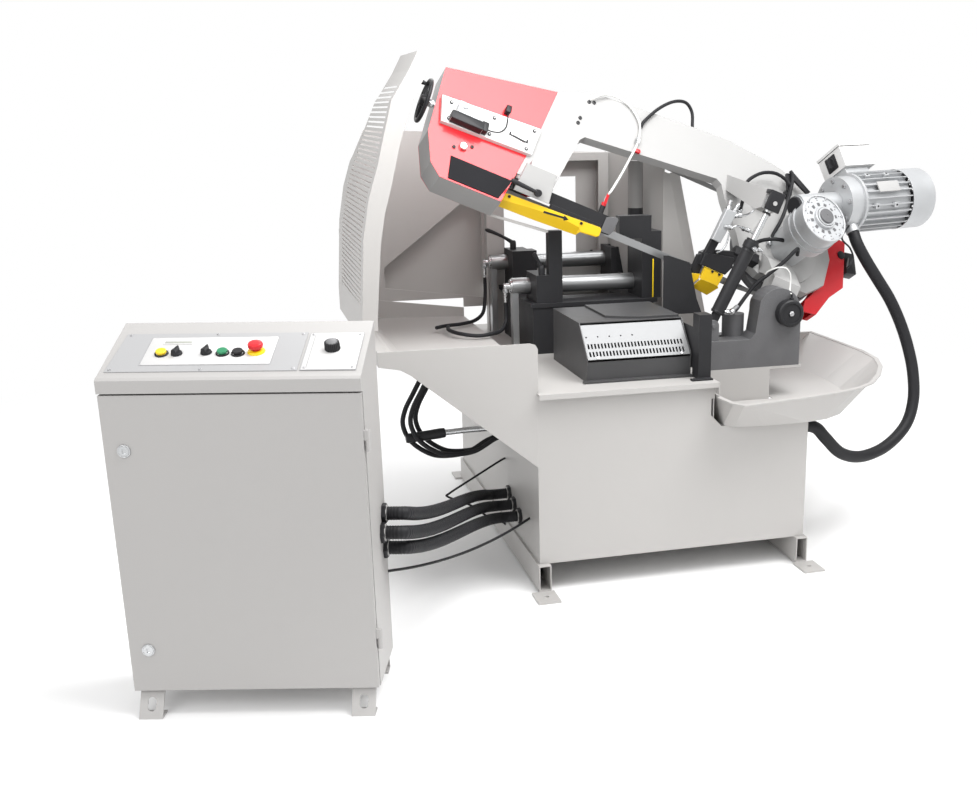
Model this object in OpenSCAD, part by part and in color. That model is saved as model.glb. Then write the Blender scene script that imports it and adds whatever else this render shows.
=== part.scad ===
// Hydraulic bow band saw with a separate control cabinet.
// +X runs right along the front of the stand, +Y to the rear (the feed direction), +Z up.
// The origin is on the floor, in the middle of the four anchor holes of the skids.

/* [Stand] */
// Width of the stand
stand_w = 1000; // [900:10:1100]
// Depth of the stand
stand_d = 1400; // [1300:10:1500]
// Sheet thickness of the stand
stand_t = 4; // [3:1:6]
// Height of the stand's top edge
stand_top = 706; // [680:2:730]
// Height of the low right-hand part that carries the chip pan
pan_seat_z = 545; // [520:5:560]
// Width of the high left-hand part, from the left side
table_w = 637; // [600:1:660]
// Width of a skid tube
skid_w = 44; // [40:1:60]
// Height of a skid tube
skid_h = 94; // [80:1:110]
// Wall of a skid tube
skid_t = 4; // [3:0.5:6]
// Thickness of a foot plate
foot_t = 8; // [6:1:12]
// Length of a foot plate
foot_len = 100; // [90:5:130]
// Width of a foot plate
foot_w = 80; // [70:5:100]
// Distance of the anchor holes from the stand's middle, front to rear
anchor_y = 770; // [765:1:775]
// Distance of the anchor holes from the stand's middle, side to side
anchor_x = 496; // [490:1:500]
// How far a foot plate laps a skid tube
foot_lap = 2; // [2:0.5:10]
// Diameter of an anchor hole
anchor_d = 18; // [12:1:22]

/* [Top plate and wing] */
// Thickness of the top plate
top_t = 4; // [3:1:8]
// How far the top plate stands out in front
lip_out = 33; // [20:1:45]
// Height of the folded front lip
lip_h = 18; // [12:1:30]
// How far the wing reaches to the left of the stand
wing_len = 518; // [480:2:560]
// Height of the wing's rim
wing_rim = 878; // [860:2:900]
// Depth of the wing's floor below its rim
wing_depth = 108; // [80:2:120]
// Sheet thickness of the wing
wing_t = 3; // [2:1:5]

/* [Guards] */
// Front of the tall guard
guard_front = -300; // [-320:5:-280]
// Sheet thickness of the guards
guard_t = 3; // [2:1:5]
// Front face of the rear wall
wall_y = 560; // [550:5:580]
// Width of the window in the rear wall
window_w = 315; // [280:5:340]
// Height of the window in the rear wall
window_h = 340; // [300:5:360]

/* [Vise] */
// Height of the vise bed's top
bed_z = 905; // [895:1:915]
// Front face of the vise bed
bed_y = -55; // [-58:1:-50]
// Depth of the vise bed
bed_d = 565; // [540:5:565]
// Width of the vise bed
bed_w = 510; // [480:10:540]
// Thickness of the bed plate
bed_t = 16; // [12:1:20]
// Thickness of a jaw
jaw_t = 22; // [16:1:30]
// Height of a jaw above the bed
jaw_h = 215; // [200:1:220]
// Opening between the front jaws as drawn
jaw_gap = 320; // [280:5:335]
// Diameter of the vise's guide tubes
vise_tube_d = 64; // [50:1:70]
// Height of the front guide tube above the bed
front_tube_h = 52; // [48:1:58]
// Height of the rear guide tube above the bed
rear_tube_h = 100; // [90:1:105]
// Front guide tube, front to rear
front_tube_y = 80; // [76:1:84]
// Rear guide tube, front to rear
rear_tube_y = 466; // [460:1:470]

/* [Chute] */
// Width of the chute
chute_w = 380; // [340:5:400]
// Sheet thickness of the chute
chute_t = 3; // [2:1:5]
// Rear edge of the chute
chute_rear = -162; // [-170:1:-160]
// Front edge of the chute's flat top
chute_brow = -508; // [-520:2:-490]
// Front edge of the slanted face
chute_nose = -610; // [-630:5:-590]
// Height of the slanted face's lower edge
chute_nose_z = 795; // [780:5:810]

/* [Chip pan] */
// How far the pan reaches to the right of the stand
pan_out = 505; // [480:5:530]
// Front of the pan
pan_front = -868; // [-880:2:-850]
// Rear of the pan
pan_rear = 330; // [300:5:360]
// Height of the pan's rim
pan_rim = 660; // [640:5:680]
// Sheet thickness of the pan
pan_t = 3; // [2:1:5]
// How far the pan's floor stays inside its rim on the right
pan_flare = 145; // [120:5:160]

/* [Bow pivot] */
// Hinge axis from the middle of the stand
hinge_x = 562; // [555:1:570]
// Height of the hinge axis
hinge_z = 873; // [868:1:878]
// Diameter of the hinge shaft
hinge_d = 50; // [40:1:60]
// Front face of the pivot bracket
bracket_front = -365; // [-370:1:-360]
// Thickness of each bracket cheek
cheek_t = 90; // [70:2:100]
// Gap between the two bracket cheeks
cheek_gap = 190; // [180:2:200]
// Diameter of the black shaft cap
cap_d = 102; // [90:1:110]
// Running clearance of pins and shafts, on the radius
fit = 0.05; // [0.02:0.01:0.08]

/* [Bow] */
// How far the bow is drawn raised from its lowest position
rest_raise = 22.8; // [20:0.2:25]
// Lean of the bow's wheels from upright
bow_lean = 35; // [33:1:37]
// Cutting plane, front to rear
blade_y = -100; // [-102:0.5:-98]
// Height of the band above the hinge axis with the bow down
blade_rise = 27; // [24:1:30]
// Radius of the band wheels
wheel_r = 200; // [190:1:205]
// Thickness of the band wheels
wheel_t = 30; // [26:1:34]
// Diameter of the band wheels' axles
axle_d = 40; // [30:1:46]
// Distance of the idler wheel from the hinge
idler_x = 1150; // [1140:1:1160]
// Distance of the drive wheel from the hinge
drive_x = 45; // [40:1:50]
// Thickness of the bow's frame plate
frame_t = 44; // [36:1:50]
// Sheet thickness of the bow's covers
cover_t = 3; // [2:0.5:5]
// Width of the band
band_w = 27; // [20:1:34]
// Thickness of the band
band_t = 1.2; // [0.9:0.1:1.6]

/* [Drive] */
// Diameter of the gearbox drum
drum_d = 196; // [180:2:210]
// Length of the gearbox drum
drum_len = 130; // [110:5:140]
// Diameter of the motor
motor_d = 235; // [220:5:245]
// Length of the motor's ribbed body
motor_len = 240; // [220:5:260]
// Length of the fan cover
fan_len = 122; // [100:2:130]
// Turn of the motor about the gearbox
motor_turn = 28; // [25:1:30]

/* [Lift cylinder] */
// Diameter of the lift cylinder's barrel
lift_d = 50; // [44:1:56]
// Diameter of the lift cylinder's rod
lift_rod_d = 22; // [18:1:28]
// Length of the barrel
lift_len = 346; // [320:2:350]
// Diameter of the lift cylinder's pins
lift_pin_d = 16; // [12:1:20]

/* [Cabinet] */
// Width of the cabinet
cab_w = 682; // [640:2:720]
// Depth of the cabinet
cab_d = 255; // [240:5:300]
// Height of the cabinet's bottom above the floor
cab_z = 72; // [60:2:90]
// Height of the cabinet's door top
cab_top = 917; // [890:2:940]
// Sheet thickness of the cabinet
cab_t = 3; // [2:0.5:4]
// Front left corner of the cabinet, side to side
cab_x = -1800; // [-1820:5:-1780]
// Front left corner of the cabinet, front to rear
cab_y = -1227; // [-1240:1:-1210]
// Turn of the cabinet against the stand
cab_turn = -15.3; // [-17:0.1:-13]
// Height of the console's rear edge above the door
head_h = 150; // [130:2:160]

/* [Controls] */
// Diameter of the push buttons
button_d = 28; // [24:1:32]
// Travel of the push buttons
button_travel = 5; // [3:0.5:6]
// Diameter of the emergency stop's mushroom
estop_d = 40; // [36:1:44]
// Diameter of the feed speed knob
knob_d = 42; // [36:1:46]

/* [Hidden] */
$fn = 48;

skid_z = foot_t + skid_h;
deck_z = stand_top + top_t;
table_x = table_w - stand_w / 2;
wing_x = -stand_w / 2 - wing_len;
wing_floor = wing_rim - wing_depth;
hub_r = 55;
hub_y0 = bracket_front + cheek_t;
hub_len = 80;
rear_cheek = 55;
bracket_z = 670;
lean_s = sin(bow_lean);
lean_c = cos(bow_lean);
seat = 0.3;
paint = [0.80, 0.79, 0.78];
bow_white = [0.93, 0.92, 0.91];
dark = [0.17, 0.17, 0.18];
steel = [0.72, 0.73, 0.74];
cast = [0.42, 0.42, 0.43];
red = [0.80, 0.06, 0.08];
yellow = [0.95, 0.80, 0.05];

// A flat outline in X and Z, given thickness along Y from y0 to y1.
module slab_y(points, y0, y1) {
    translate([0, y1, 0]) rotate([90, 0, 0]) linear_extrude(y1 - y0) polygon(points);
}

// A flat outline in Y and Z, given thickness along X from x0 to x1.
module slab_x(points, x0, x1) {
    translate([x0, 0, 0]) rotate([90, 0, 90]) linear_extrude(x1 - x0) polygon(points);
}

// A box from its lowest to its highest corner.
module block(low, high) {
    translate(low) cube(high - low);
}

// A round bar along X, Y or Z from its start point.
module bar_x(at, d, len) { translate(at) rotate([0, 90, 0]) cylinder(d = d, h = len); }
module bar_y(at, d, len) { translate(at) rotate([-90, 0, 0]) cylinder(d = d, h = len); }
module bar_z(at, d, len) { translate(at) cylinder(d = d, h = len); }

// Points on an arc about a centre.
function arc(cx, cz, r, a0, a1, n) =
    [for (i = [0 : n]) [cx + r * cos(a0 + (a1 - a0) * i / n), cz + r * sin(a0 + (a1 - a0) * i / n)]];

// Frames of the bow: at the hinge, at the band's line, and leaning with the wheels.
module bow(a = rest_raise) { translate([hinge_x, 0, hinge_z]) rotate([0, a, 0]) children(); }
module bandline() { bow() translate([0, blade_y, blade_rise]) children(); }
module lean() { bandline() rotate([-bow_lean, 0, 0]) children(); }

// ---- Stand ----

module skid_rails() {
    tube_len = 2 * anchor_y - foot_len + 2 * foot_lap;
    color(paint) for (side = [-1, 1]) {
        difference() {
            translate([side * (anchor_x - 9) - skid_w / 2, -tube_len / 2, foot_t])
                cube([skid_w, tube_len, skid_h]);
            translate([side * (anchor_x - 9) - skid_w / 2 + skid_t, -tube_len / 2 - 1, foot_t + skid_t])
                cube([skid_w - 2 * skid_t, tube_len + 2, skid_h - 2 * skid_t]);
        }
        for (end = [-1, 1]) difference() {
            translate([side * anchor_x - foot_w / 2, end * anchor_y - foot_len / 2, 0])
                cube([foot_w, foot_len, foot_t]);
            bar_z([side * anchor_x, end * anchor_y, -1], anchor_d, foot_t + 2);
        }
    }
}

module stand_shell() {
    w = stand_w / 2;
    d = stand_d / 2;
    notch_x = table_x - 12;
    color(paint) difference() {
        union() {
            slab_y([[-w, skid_z], [w, skid_z], [w, pan_seat_z], [table_x + 28, pan_seat_z],
                [notch_x, pan_seat_z + 42], [notch_x, stand_top - 60], [table_x, stand_top - 60],
                [table_x, stand_top], [-w, stand_top]], -d, -d + stand_t);
            block([-w, -d, skid_z], [-w + stand_t, d, stand_top]);
            block([w - stand_t, -d, skid_z], [w, pan_rear + 14, pan_seat_z]);
            block([w - stand_t, pan_rear + 10, skid_z], [w, d, stand_top]);
            block([-w, d - stand_t, skid_z], [w, d, stand_top]);
            block([table_x, pan_rear + 10, pan_seat_z - stand_t], [w, pan_rear + 14, stand_top]);
            for (end = [[table_x, pan_rear + 14, stand_top], [w, pan_rear + 14, pan_seat_z]])
                block([table_x - stand_t, -d + stand_t, pan_seat_z - stand_t], end);
            block([-w, -d, skid_z], [w, d, skid_z + stand_t]);
        }
        for (p = conduit_ends) bar_x([-w - 1, p[0], p[1]], conduit_d - 8, stand_t + 2);
        bar_x([w - stand_t - 1, hose_end[0], hose_end[1]], hose_d - 8, stand_t + 2);
    }
    color(dark) {
        for (p = conduit_ends) gland([-w - gland_len, p[0], p[1]], conduit_d);
        gland([w, hose_end[0], hose_end[1]], hose_d);
    }
}

module top_plate() {
    w = stand_w / 2;
    d = stand_d / 2;
    front = -d - lip_out;
    edge = table_x + 4;
    color(paint) {
        difference() {
            union() {
                translate([0, 0, stand_top]) linear_extrude(top_t) polygon([[-w, front], [edge, front],
                    [edge, pan_rear + 6], [w, pan_rear + 6], [w, d], [-w, d]]);
                block([-w, front, deck_z - lip_h], [edge, front + 3, stand_top]);
                block([edge - 3, front, stand_top - 40], [edge, -d - 1, stand_top]);
            }
            block([-250, 100, stand_top - 1], [50, 400, deck_z + 1]);
        }
    }
}

module wing_tray() {
    w = stand_w / 2;
    d = stand_d / 2;
    rear = wall_y;
    under = [[wing_x, wing_rim - 48], [wing_x + 81, wing_rim - 64], [-w, stand_top - 254]];
    color(paint) {
        slab_y([under[0], under[1], under[2], [-w, deck_z + 0.3], [-w + 4, deck_z + 0.3],
            [-w + 6, wing_rim - 20], [-w - 2, wing_rim - 6], [-w - 20, wing_rim], [wing_x, wing_rim]],
            -d, -d + wing_t);
        slab_y([under[0], under[1], under[2], under[2] + [0, wing_t + 1],
            under[1] + [1, wing_t + 1], under[0] + [0, wing_t + 1]], -d, rear);
        block([wing_x, -d, wing_rim - 48], [wing_x + wing_t, rear, wing_rim]);
        slab_y([[wing_x, wing_rim - 20], [wing_x + 130, wing_floor + 10], [-w, wing_floor],
            [-w, wing_floor + wing_t], [wing_x + 131, wing_floor + 10 + wing_t],
            [wing_x, wing_rim - 20 + wing_t]], -d, rear);
        slab_y([under[0], under[1], under[2], [-w, deck_z + 100], [wing_x, wing_rim]],
            rear - wing_t, rear);
    }
}

// The tall guard's left outline and the inner edge of its flange, in X and Z.
rim_corner = [wing_x, wing_rim];
guard_line = [for (p = [[0, 0], [0, 42], [20, 314], [45, 446], [83, 560], [104, 640],
    [140, 767], [202, 861], [235, 922]]) rim_corner + p];
guard_edge = [for (p = [[273, 874], [204, 751], [160, 623], [126, 493], [97, 395], [78, 295],
    [63, 142], [53, 39], [52, 0]]) rim_corner + p];
guard_heights = [for (p = guard_line) [p[1], p[0]]];

module tall_guard() {
    slot_h = 6;
    slots = 45;
    pitch = 16.5;
    first = wing_rim + 82;
    top = wing_rim + 932;
    color(paint) {
        slab_y(concat(guard_line, guard_edge), guard_front, guard_front + guard_t);
        difference() {
            intersection() {
                slab_y(concat(guard_line, [for (i = [len(guard_line) - 1 : -1 : 0])
                    guard_line[i] + [guard_t, 0]]), guard_front, wall_y);
                slab_x([[guard_front, wing_rim], [wall_y, wing_rim], [wall_y, top - 390],
                    [wall_y - 260, top - 270], [wall_y - 440, top - 150], [wall_y - 460, top],
                    [guard_front, top]], wing_x - 9, -700);
            }
            for (i = [0 : slots - 1])
                let (z = first + i * pitch, back = min(wall_y - 130, 1040 - (z - wing_rim) * 1.15))
                block([lookup(z, guard_heights) - 9, guard_front + 60, z],
                    [lookup(z, guard_heights) + 12, back, z + slot_h]);
        }
    }
}

wall_right = 130;

module rear_wall() {
    y1 = wall_y + guard_t;
    left = -1010;
    right = wall_right;
    x0 = -315;
    z0 = 1000;
    color(paint) {
        difference() {
            slab_y([[left, wing_rim - 28], [-500, wing_rim - 28], [-500, 812], [right, 812], [right, 1438],
                [-340, 1448], [-640, wing_rim + 652], [-880, wing_rim + 662], [-948, wing_rim + 522],
                [-1002, wing_rim + 272]], wall_y, y1);
            slab_y([[x0, z0], [x0 + window_w, z0], [x0 + window_w, z0 + window_h],
                [x0, z0 + window_h]], wall_y - 1, y1 + 1);
            slab_y([[-828, 990], [-478, 1255], [-412, 1236], [-412, 850], [-828, 905]],
                wall_y - 1, y1 + 1);
        }
        slab_y([[-850, 895], [-400, 830], [-400, 1290], [-850, 1290]], y1 + 60, y1 + 63);
        for (x = [-850, -403]) block([x, y1, 900], [x + 3, y1 + 61, 1280]);
        difference() {
            block([-400, wall_y - 48, deck_z], [right, wall_y, 1438]);
            block([-330, wall_y - 49, deck_z - 1], [right - 44, wall_y + 1, z0 + window_h + 66]);
            block([-397, wall_y - 45, deck_z - 1], [right - 3, wall_y - 3, 1435]);
        }
    }
}

module side_screen() {
    x0 = wall_right;
    y0 = wall_y + guard_t;
    post_y = 237;
    fold_x = 278;
    lean_out = 143;
    top = 1368;
    color(paint) difference() {
        union() {
            translate([0, 0, deck_z]) linear_extrude(730) polygon([[x0, y0], [x0, wall_y - 15],
                [214, 485], [280, post_y], [284, post_y + 1], [218, 487], [x0 + 4, wall_y - 13],
                [x0 + 4, y0]]);
            slab_y([[fold_x, top], [fold_x + 27, top - 9], [fold_x + 27 + lean_out, deck_z],
                [fold_x, deck_z]], post_y, post_y + 3);
            translate([fold_x + 25, post_y, top - 8]) rotate([0, -atan(lean_out / (top - deck_z)), 0])
                rotate([0, 0, 28]) translate([0, 0, -660]) cube([60, 3, 660]);
        }
        slab_x([[90, 1374], [y0 + 9, 1441], [y0 + 9, 1500], [90, 1500]], 100, 340);
    }
}

// ---- Vise ----

bed_x0 = -356;
bed_x1 = bed_x0 + bed_w;
bed_under = bed_z - bed_t;
jaw_x = -228;
fixed_x = jaw_x + jaw_gap;
block_len = 80;
block_x = jaw_x - jaw_t - block_len;
tube_x = block_x - 70;
front_top = bed_z + 105;
rear_top = bed_z + 155;
front_tube = [front_tube_y, bed_z + front_tube_h];
rear_tube = [rear_tube_y, bed_z + rear_tube_h];
stud_d = 12;

module vise_bed() {
    color(dark) {
        difference() {
            block([bed_x0, bed_y, bed_under], [bed_x1, bed_y + bed_d, bed_z]);
            block([bed_x0 + 50, 130, bed_under - 1], [fixed_x - 20, 340, bed_z + 1]);
        }
        for (x = [bed_x0 + 8, bed_x1 - 40])
            block([x, bed_y + 5, deck_z], [x + 24, bed_y + bed_d - 60, bed_under]);
        block([bed_x0 + 32, bed_y + 5, deck_z], [bed_x1 - 40, bed_y + 17, bed_under]);
    }
}

// A fixed jaw with its two ribs; its face stands at fixed_x.
module fixed_jaw(y0, y1, top) {
    block([fixed_x, y0, bed_z], [fixed_x + jaw_t, y1, top]);
    for (y = [y0 + 12, y1 - 28])
        slab_y([[fixed_x + jaw_t, bed_z], [bed_x1, bed_z], [bed_x1, bed_z + 20], [fixed_x + jaw_t + 14, top],
            [fixed_x + jaw_t, top]], y, y + 16);
}

module fixed_jaws() {
    front = bed_y + 10;
    back = front_tube_y + 45;
    side_x = bed_x1 + 16;
    head_z = bed_z + 230;
    body_z = head_z + 26;
    plate = 12;
    color(dark) {
        fixed_jaw(front, back, front_top + 10);
        fixed_jaw(350, rear_tube_y + 36, rear_top);
        block([fixed_x, front, bed_z], [side_x, front + plate, body_z]);
        block([side_x - plate, front, bed_z], [side_x, back, body_z]);
        block([fixed_x, front, body_z - plate], [side_x, back, body_z]);
        block([fixed_x, front, front_top], [fixed_x + plate, back, body_z]);
        block([fixed_x - 92, front, head_z], [fixed_x + 37, 3, head_z + 86]);
    }
    color(dark) block([bed_x1 - 60, 264, bed_z], [214, 336, bed_z + 12]);
    color(steel) bar_z([180, 300, bed_z + 12], 62, 493);
}

// A guide tube between its foot on the left and the fixed jaw.
module guide_tube(at) {
    color(steel) difference() {
        bar_x([tube_x, at[0], at[1]], vise_tube_d, fixed_x - tube_x);
        bar_x([tube_x - 1, at[0], at[1]], vise_tube_d - 16, fixed_x - tube_x - 9);
    }
    color(dark) difference() {
        block([tube_x, at[0] - 20, deck_z], [tube_x + 24, at[0] + 20, at[1]]);
        bar_x([tube_x - 1, at[0], at[1]], vise_tube_d - 8, 40);
    }
}

module vise_cylinders() {
    guide_tube(front_tube);
    guide_tube(rear_tube);
}

// A moving jaw bored to slide along its guide tube, with a hole for its lever's stud.
module moving_jaw(tube, y0, y1, plate_y, top, stud) {
    color(dark) difference() {
        union() {
            block([block_x, y0, bed_z + seat], [jaw_x - jaw_t, y1, top]);
            block([jaw_x - jaw_t, y0, bed_z + seat], [jaw_x, plate_y, top]);
        }
        bar_x([block_x - 1, tube[0], tube[1]], vise_tube_d + 2 * fit, block_len + jaw_t + 2);
        bar_z([stud[0], stud[1], top - 20], stud_d + 2 * fit, 21);
    }
}

front_stud = [block_x + 24, -30];
rear_stud = [block_x + 24, 440];

module front_jaw() {
    moving_jaw(front_tube, bed_y + 10, front_tube_y + 40, 40, front_top, front_stud);
    color(dark) {
        block([jaw_x - jaw_t, bed_y + 10, front_top], [jaw_x, 40, bed_z + jaw_h]);
        block([jaw_x - jaw_t - 30, bed_y + 10, front_top], [jaw_x, -2, bed_z + jaw_h + 55]);
    }
}

module rear_jaw() { moving_jaw(rear_tube, 350, rear_tube_y + 36, rear_tube_y - 36, rear_top, rear_stud); }

// A clamping lever: a hub with its stud, an arm and a ball grip.
module clamp_lever(stud, top, reach) {
    color(dark) {
        bar_z([stud[0], stud[1], top + seat], 26, 34);
        bar_z([stud[0], stud[1], top - 18], stud_d, 20);
        hull() {
            translate([stud[0], stud[1], top + 27]) sphere(d = 12, $fn = 24);
            translate([stud[0], stud[1], top] + reach) sphere(d = 14, $fn = 24);
        }
    }
}

module front_vise_lever() { clamp_lever(front_stud, front_top, [-30, 0, 84]); }
module rear_vise_lever() { clamp_lever(rear_stud, rear_top, [-116, 0, 83]); }

// ---- Chute and screens ----

chute_x0 = -298;
chute_x1 = chute_x0 + chute_w;
brow_z = bed_z - 2;
face_slope = [chute_nose - chute_brow, chute_nose_z - brow_z];
face_len = norm(face_slope);
face_turn = atan2(-face_slope[1], -face_slope[0]);

module chute_box() {
    side = [[chute_rear, deck_z], [chute_rear, brow_z], [chute_brow, brow_z],
        [chute_nose, chute_nose_z], [chute_nose + 6, deck_z + 8], [chute_nose - 12, deck_z + 8],
        [chute_nose - 12, deck_z]];
    color(dark) {
        for (x = [chute_x0, chute_x1 - chute_t]) slab_x(side, x, x + chute_t);
        block([chute_x0, chute_brow + 1, brow_z - chute_t], [chute_x1, chute_rear, brow_z]);
        block([chute_x0, chute_nose + 7, deck_z], [chute_x1, chute_nose + 7 + chute_t, chute_nose_z - 14]);
        block([chute_x0 - 14, chute_nose - 12, deck_z], [chute_x1 + 3, chute_nose + 12, deck_z + 8]);
        block([chute_x0, chute_rear - chute_t, deck_z], [chute_x1, chute_rear, brow_z]);
    }
}

module chute_face() {
    slots = 29;
    pitch = (chute_w - 28) / slots;
    color(steel) translate([chute_x0 + chute_t + seat, chute_nose + 4, chute_nose_z - 6])
        rotate([face_turn, 0, 0]) difference() {
            cube([chute_w - 2 * chute_t - 2 * seat, face_len - 6, 2]);
            for (row = [12, 44]) for (i = [0 : slots - 1])
                translate([10 + i * pitch, row, -1]) cube([6, 20, 4]);
            for (i = [0 : 4]) translate([12 + i * 42, 92, -1]) cylinder(d = 6, h = 4, $fn = 16);
        }
}

module arc_plate() {
    r = 330;
    t = 8;
    color([0.33, 0.33, 0.34]) intersection() {
        translate([chute_x1 - 60, chute_rear - 6, brow_z]) cylinder(r = r, h = t);
        block([chute_x0 + 120, chute_brow + 20, brow_z], [chute_x1 - 4, chute_rear - 10, brow_z + t]);
    }
}

module blade_screen() {
    y = chute_rear - 8;
    x0 = chute_x1 + 4;
    front = chute_nose - 60;
    color(dark) {
        slab_y([[x0, 740], [x0, bed_z - 20], [x0 + 49, bed_z - 20], [x0 + 49, bed_z + 176],
            [x0 + 69, bed_z + 175], [x0 + 154, bed_z + 146], [x0 + 186, bed_z + 6],
            [x0 + 208, bed_z - 49], [x0 + 64, bed_z - 49], [x0 + 34, 740]], y, y + 3);
        difference() {
            block([x0, front, deck_z], [x0 + 46, front + 60, bed_z + 30]);
            block([x0 + 3, front + 3, deck_z - 1], [x0 + 43, front + 57, bed_z + 27]);
        }
        block([x0, front + 60, deck_z + 30], [x0 + 3, y, bed_z - 20]);
        block([x0 - 30, front - 24, deck_z], [x0 + 46, front, deck_z + 6]);
    }
}

// ---- Chip pan and pivot bracket ----

pan_x0 = table_x + 8;
pan_x1 = stand_w / 2 + pan_out;
pan_cut = 12;
pan_lip = 14;
rim_line = [[pan_x0, -755], [pan_x0 + 8, -830], [pan_x0 + 30, pan_front], [400, -826], [560, -786],
    [664, -746], [745, -688], [838, -571], [919, -443], [pan_x1 - 25, -300], [pan_x1, -132],
    [pan_x1, pan_rear - pan_lip], [pan_x0, pan_rear - pan_lip]];
floor_line = [[pan_x0 + 30, -690], [pan_x0 + 58, -728], [310, -745], [472, -742], [560, -722],
    [640, -670], [720, -560], [790, -430], [pan_x1 - pan_flare - 20, -290], [pan_x1 - pan_flare, -130],
    [pan_x1 - pan_flare, pan_rear - 30], [pan_x0 + 30, pan_rear - 30]];

// The pan's dished form, from floor to rim, drawn in by the sheet's thickness.
module pan_form(inset, z) {
    hull() {
        translate([0, 0, pan_rim - 2]) linear_extrude(2 + inset) offset(delta = -inset) polygon(rim_line);
        translate([0, 0, z]) linear_extrude(2) offset(delta = -inset) polygon(floor_line);
    }
}

module chip_pan() {
    d = stand_d / 2;
    color(paint) difference() {
        union() {
            pan_form(0, pan_seat_z);
            translate([0, 0, pan_rim - 5]) linear_extrude(5) offset(delta = pan_lip) polygon(rim_line);
        }
        pan_form(pan_t, pan_seat_z + pan_t);
        block([table_x - 9, bracket_front - pan_cut, pan_seat_z - 9],
            [stand_w / 2 + pan_cut, 60, pan_rim + 9]);
        block([table_x - 99, -d - lip_out - 2, pan_seat_z - 9], [table_x + 5, pan_rear + 99, pan_rim + 9]);
    }
}

module pan_pedestal() {
    y1 = 40;
    t = 6;
    color(paint) {
        difference() {
            block([table_x + 6, bracket_front, pan_seat_z], [stand_w / 2 - 1, y1, bracket_z - 10]);
            block([table_x + 6 + t, bracket_front + t, pan_seat_z - 1],
                [stand_w / 2 - 1 - t, y1 - t, bracket_z - 10 - t]);
        }
        block([table_x + 6, bracket_front, bracket_z - 10], [hinge_x + 66, y1, bracket_z]);
    }
}

// A bracket cheek: foot, column and round head about the hinge.
module cheek(y0, y1, head) {
    slab_y(concat([[hinge_x + 56, bracket_z], [hinge_x + 56, hinge_z]],
        arc(hinge_x - 34, hinge_z + 4, head, 10, 150, 12),
        [[hinge_x - 128, bracket_z + 130], [hinge_x - 148, bracket_z + 108],
        [hinge_x - 325, bracket_z + 108], [hinge_x - 325, bracket_z]]), y0, y1);
}

lift_y = -330;
lift_foot = [hinge_x - 294, 836];

module pivot_bracket() {
    ear_w = 44;
    rear_y0 = hub_y0 + hub_len;
    color(cast) difference() {
        union() {
            cheek(bracket_front, hub_y0, 88);
            slab_y(concat([[hinge_x + 56, bracket_z], [hinge_x + 56, hinge_z]],
                arc(hinge_x, hinge_z, 56, 0, 180, 16),
                [[hinge_x - 56, bracket_z + 100], [hinge_x - 325, bracket_z + 100],
                [hinge_x - 325, bracket_z]]), rear_y0, rear_y0 + rear_cheek);
            block([hinge_x - 325, hub_y0, bracket_z], [hinge_x + 56, rear_y0, bracket_z + 84]);
            bar_z([hinge_x - 172, -250, bracket_z + 80], 84, 112);
        }
        bar_y([hinge_x, bracket_front - 1, hinge_z], hinge_d, 260);
        block([hinge_x - 325, lift_y - 14, bracket_z + 108.5], [hinge_x - 240, lift_y + 14, bracket_z + 240]);
    }
    color(cast) difference() {
        for (y = [lift_y - 14 - 12, lift_y + 14]) slab_y(concat(
            [[lift_foot[0] - ear_w / 2, bracket_z + 108], [lift_foot[0] + ear_w / 2, bracket_z + 108]],
            arc(lift_foot[0], lift_foot[1], ear_w / 2, 0, 180, 10)), y, y + 12);
        bar_y([lift_foot[0], lift_y - 40, lift_foot[1]], lift_pin_d, 80);
    }
    color(steel) bar_y([lift_foot[0], lift_y - 34, lift_foot[1]], lift_pin_d, 62);
}

module hinge_shaft() {
    color(steel) bar_y([hinge_x, bracket_front, hinge_z], hinge_d, 224);
    color(dark) {
        bar_y([hinge_x, bracket_front - 34, hinge_z], cap_d, 34);
        bar_y([hinge_x, hub_y0 + hub_len + rear_cheek, hinge_z], cap_d - 22, 8);
    }
}

// ---- Bow: all drawn in the leaning frame, with the band's lower run at z = 0 ----

plate_front = -60;
plate_back = plate_front + frame_t - 4;
web_x = 60;
neck_d = 150;
lift_head_x = -216;
lift_head_z = 345;

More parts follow.
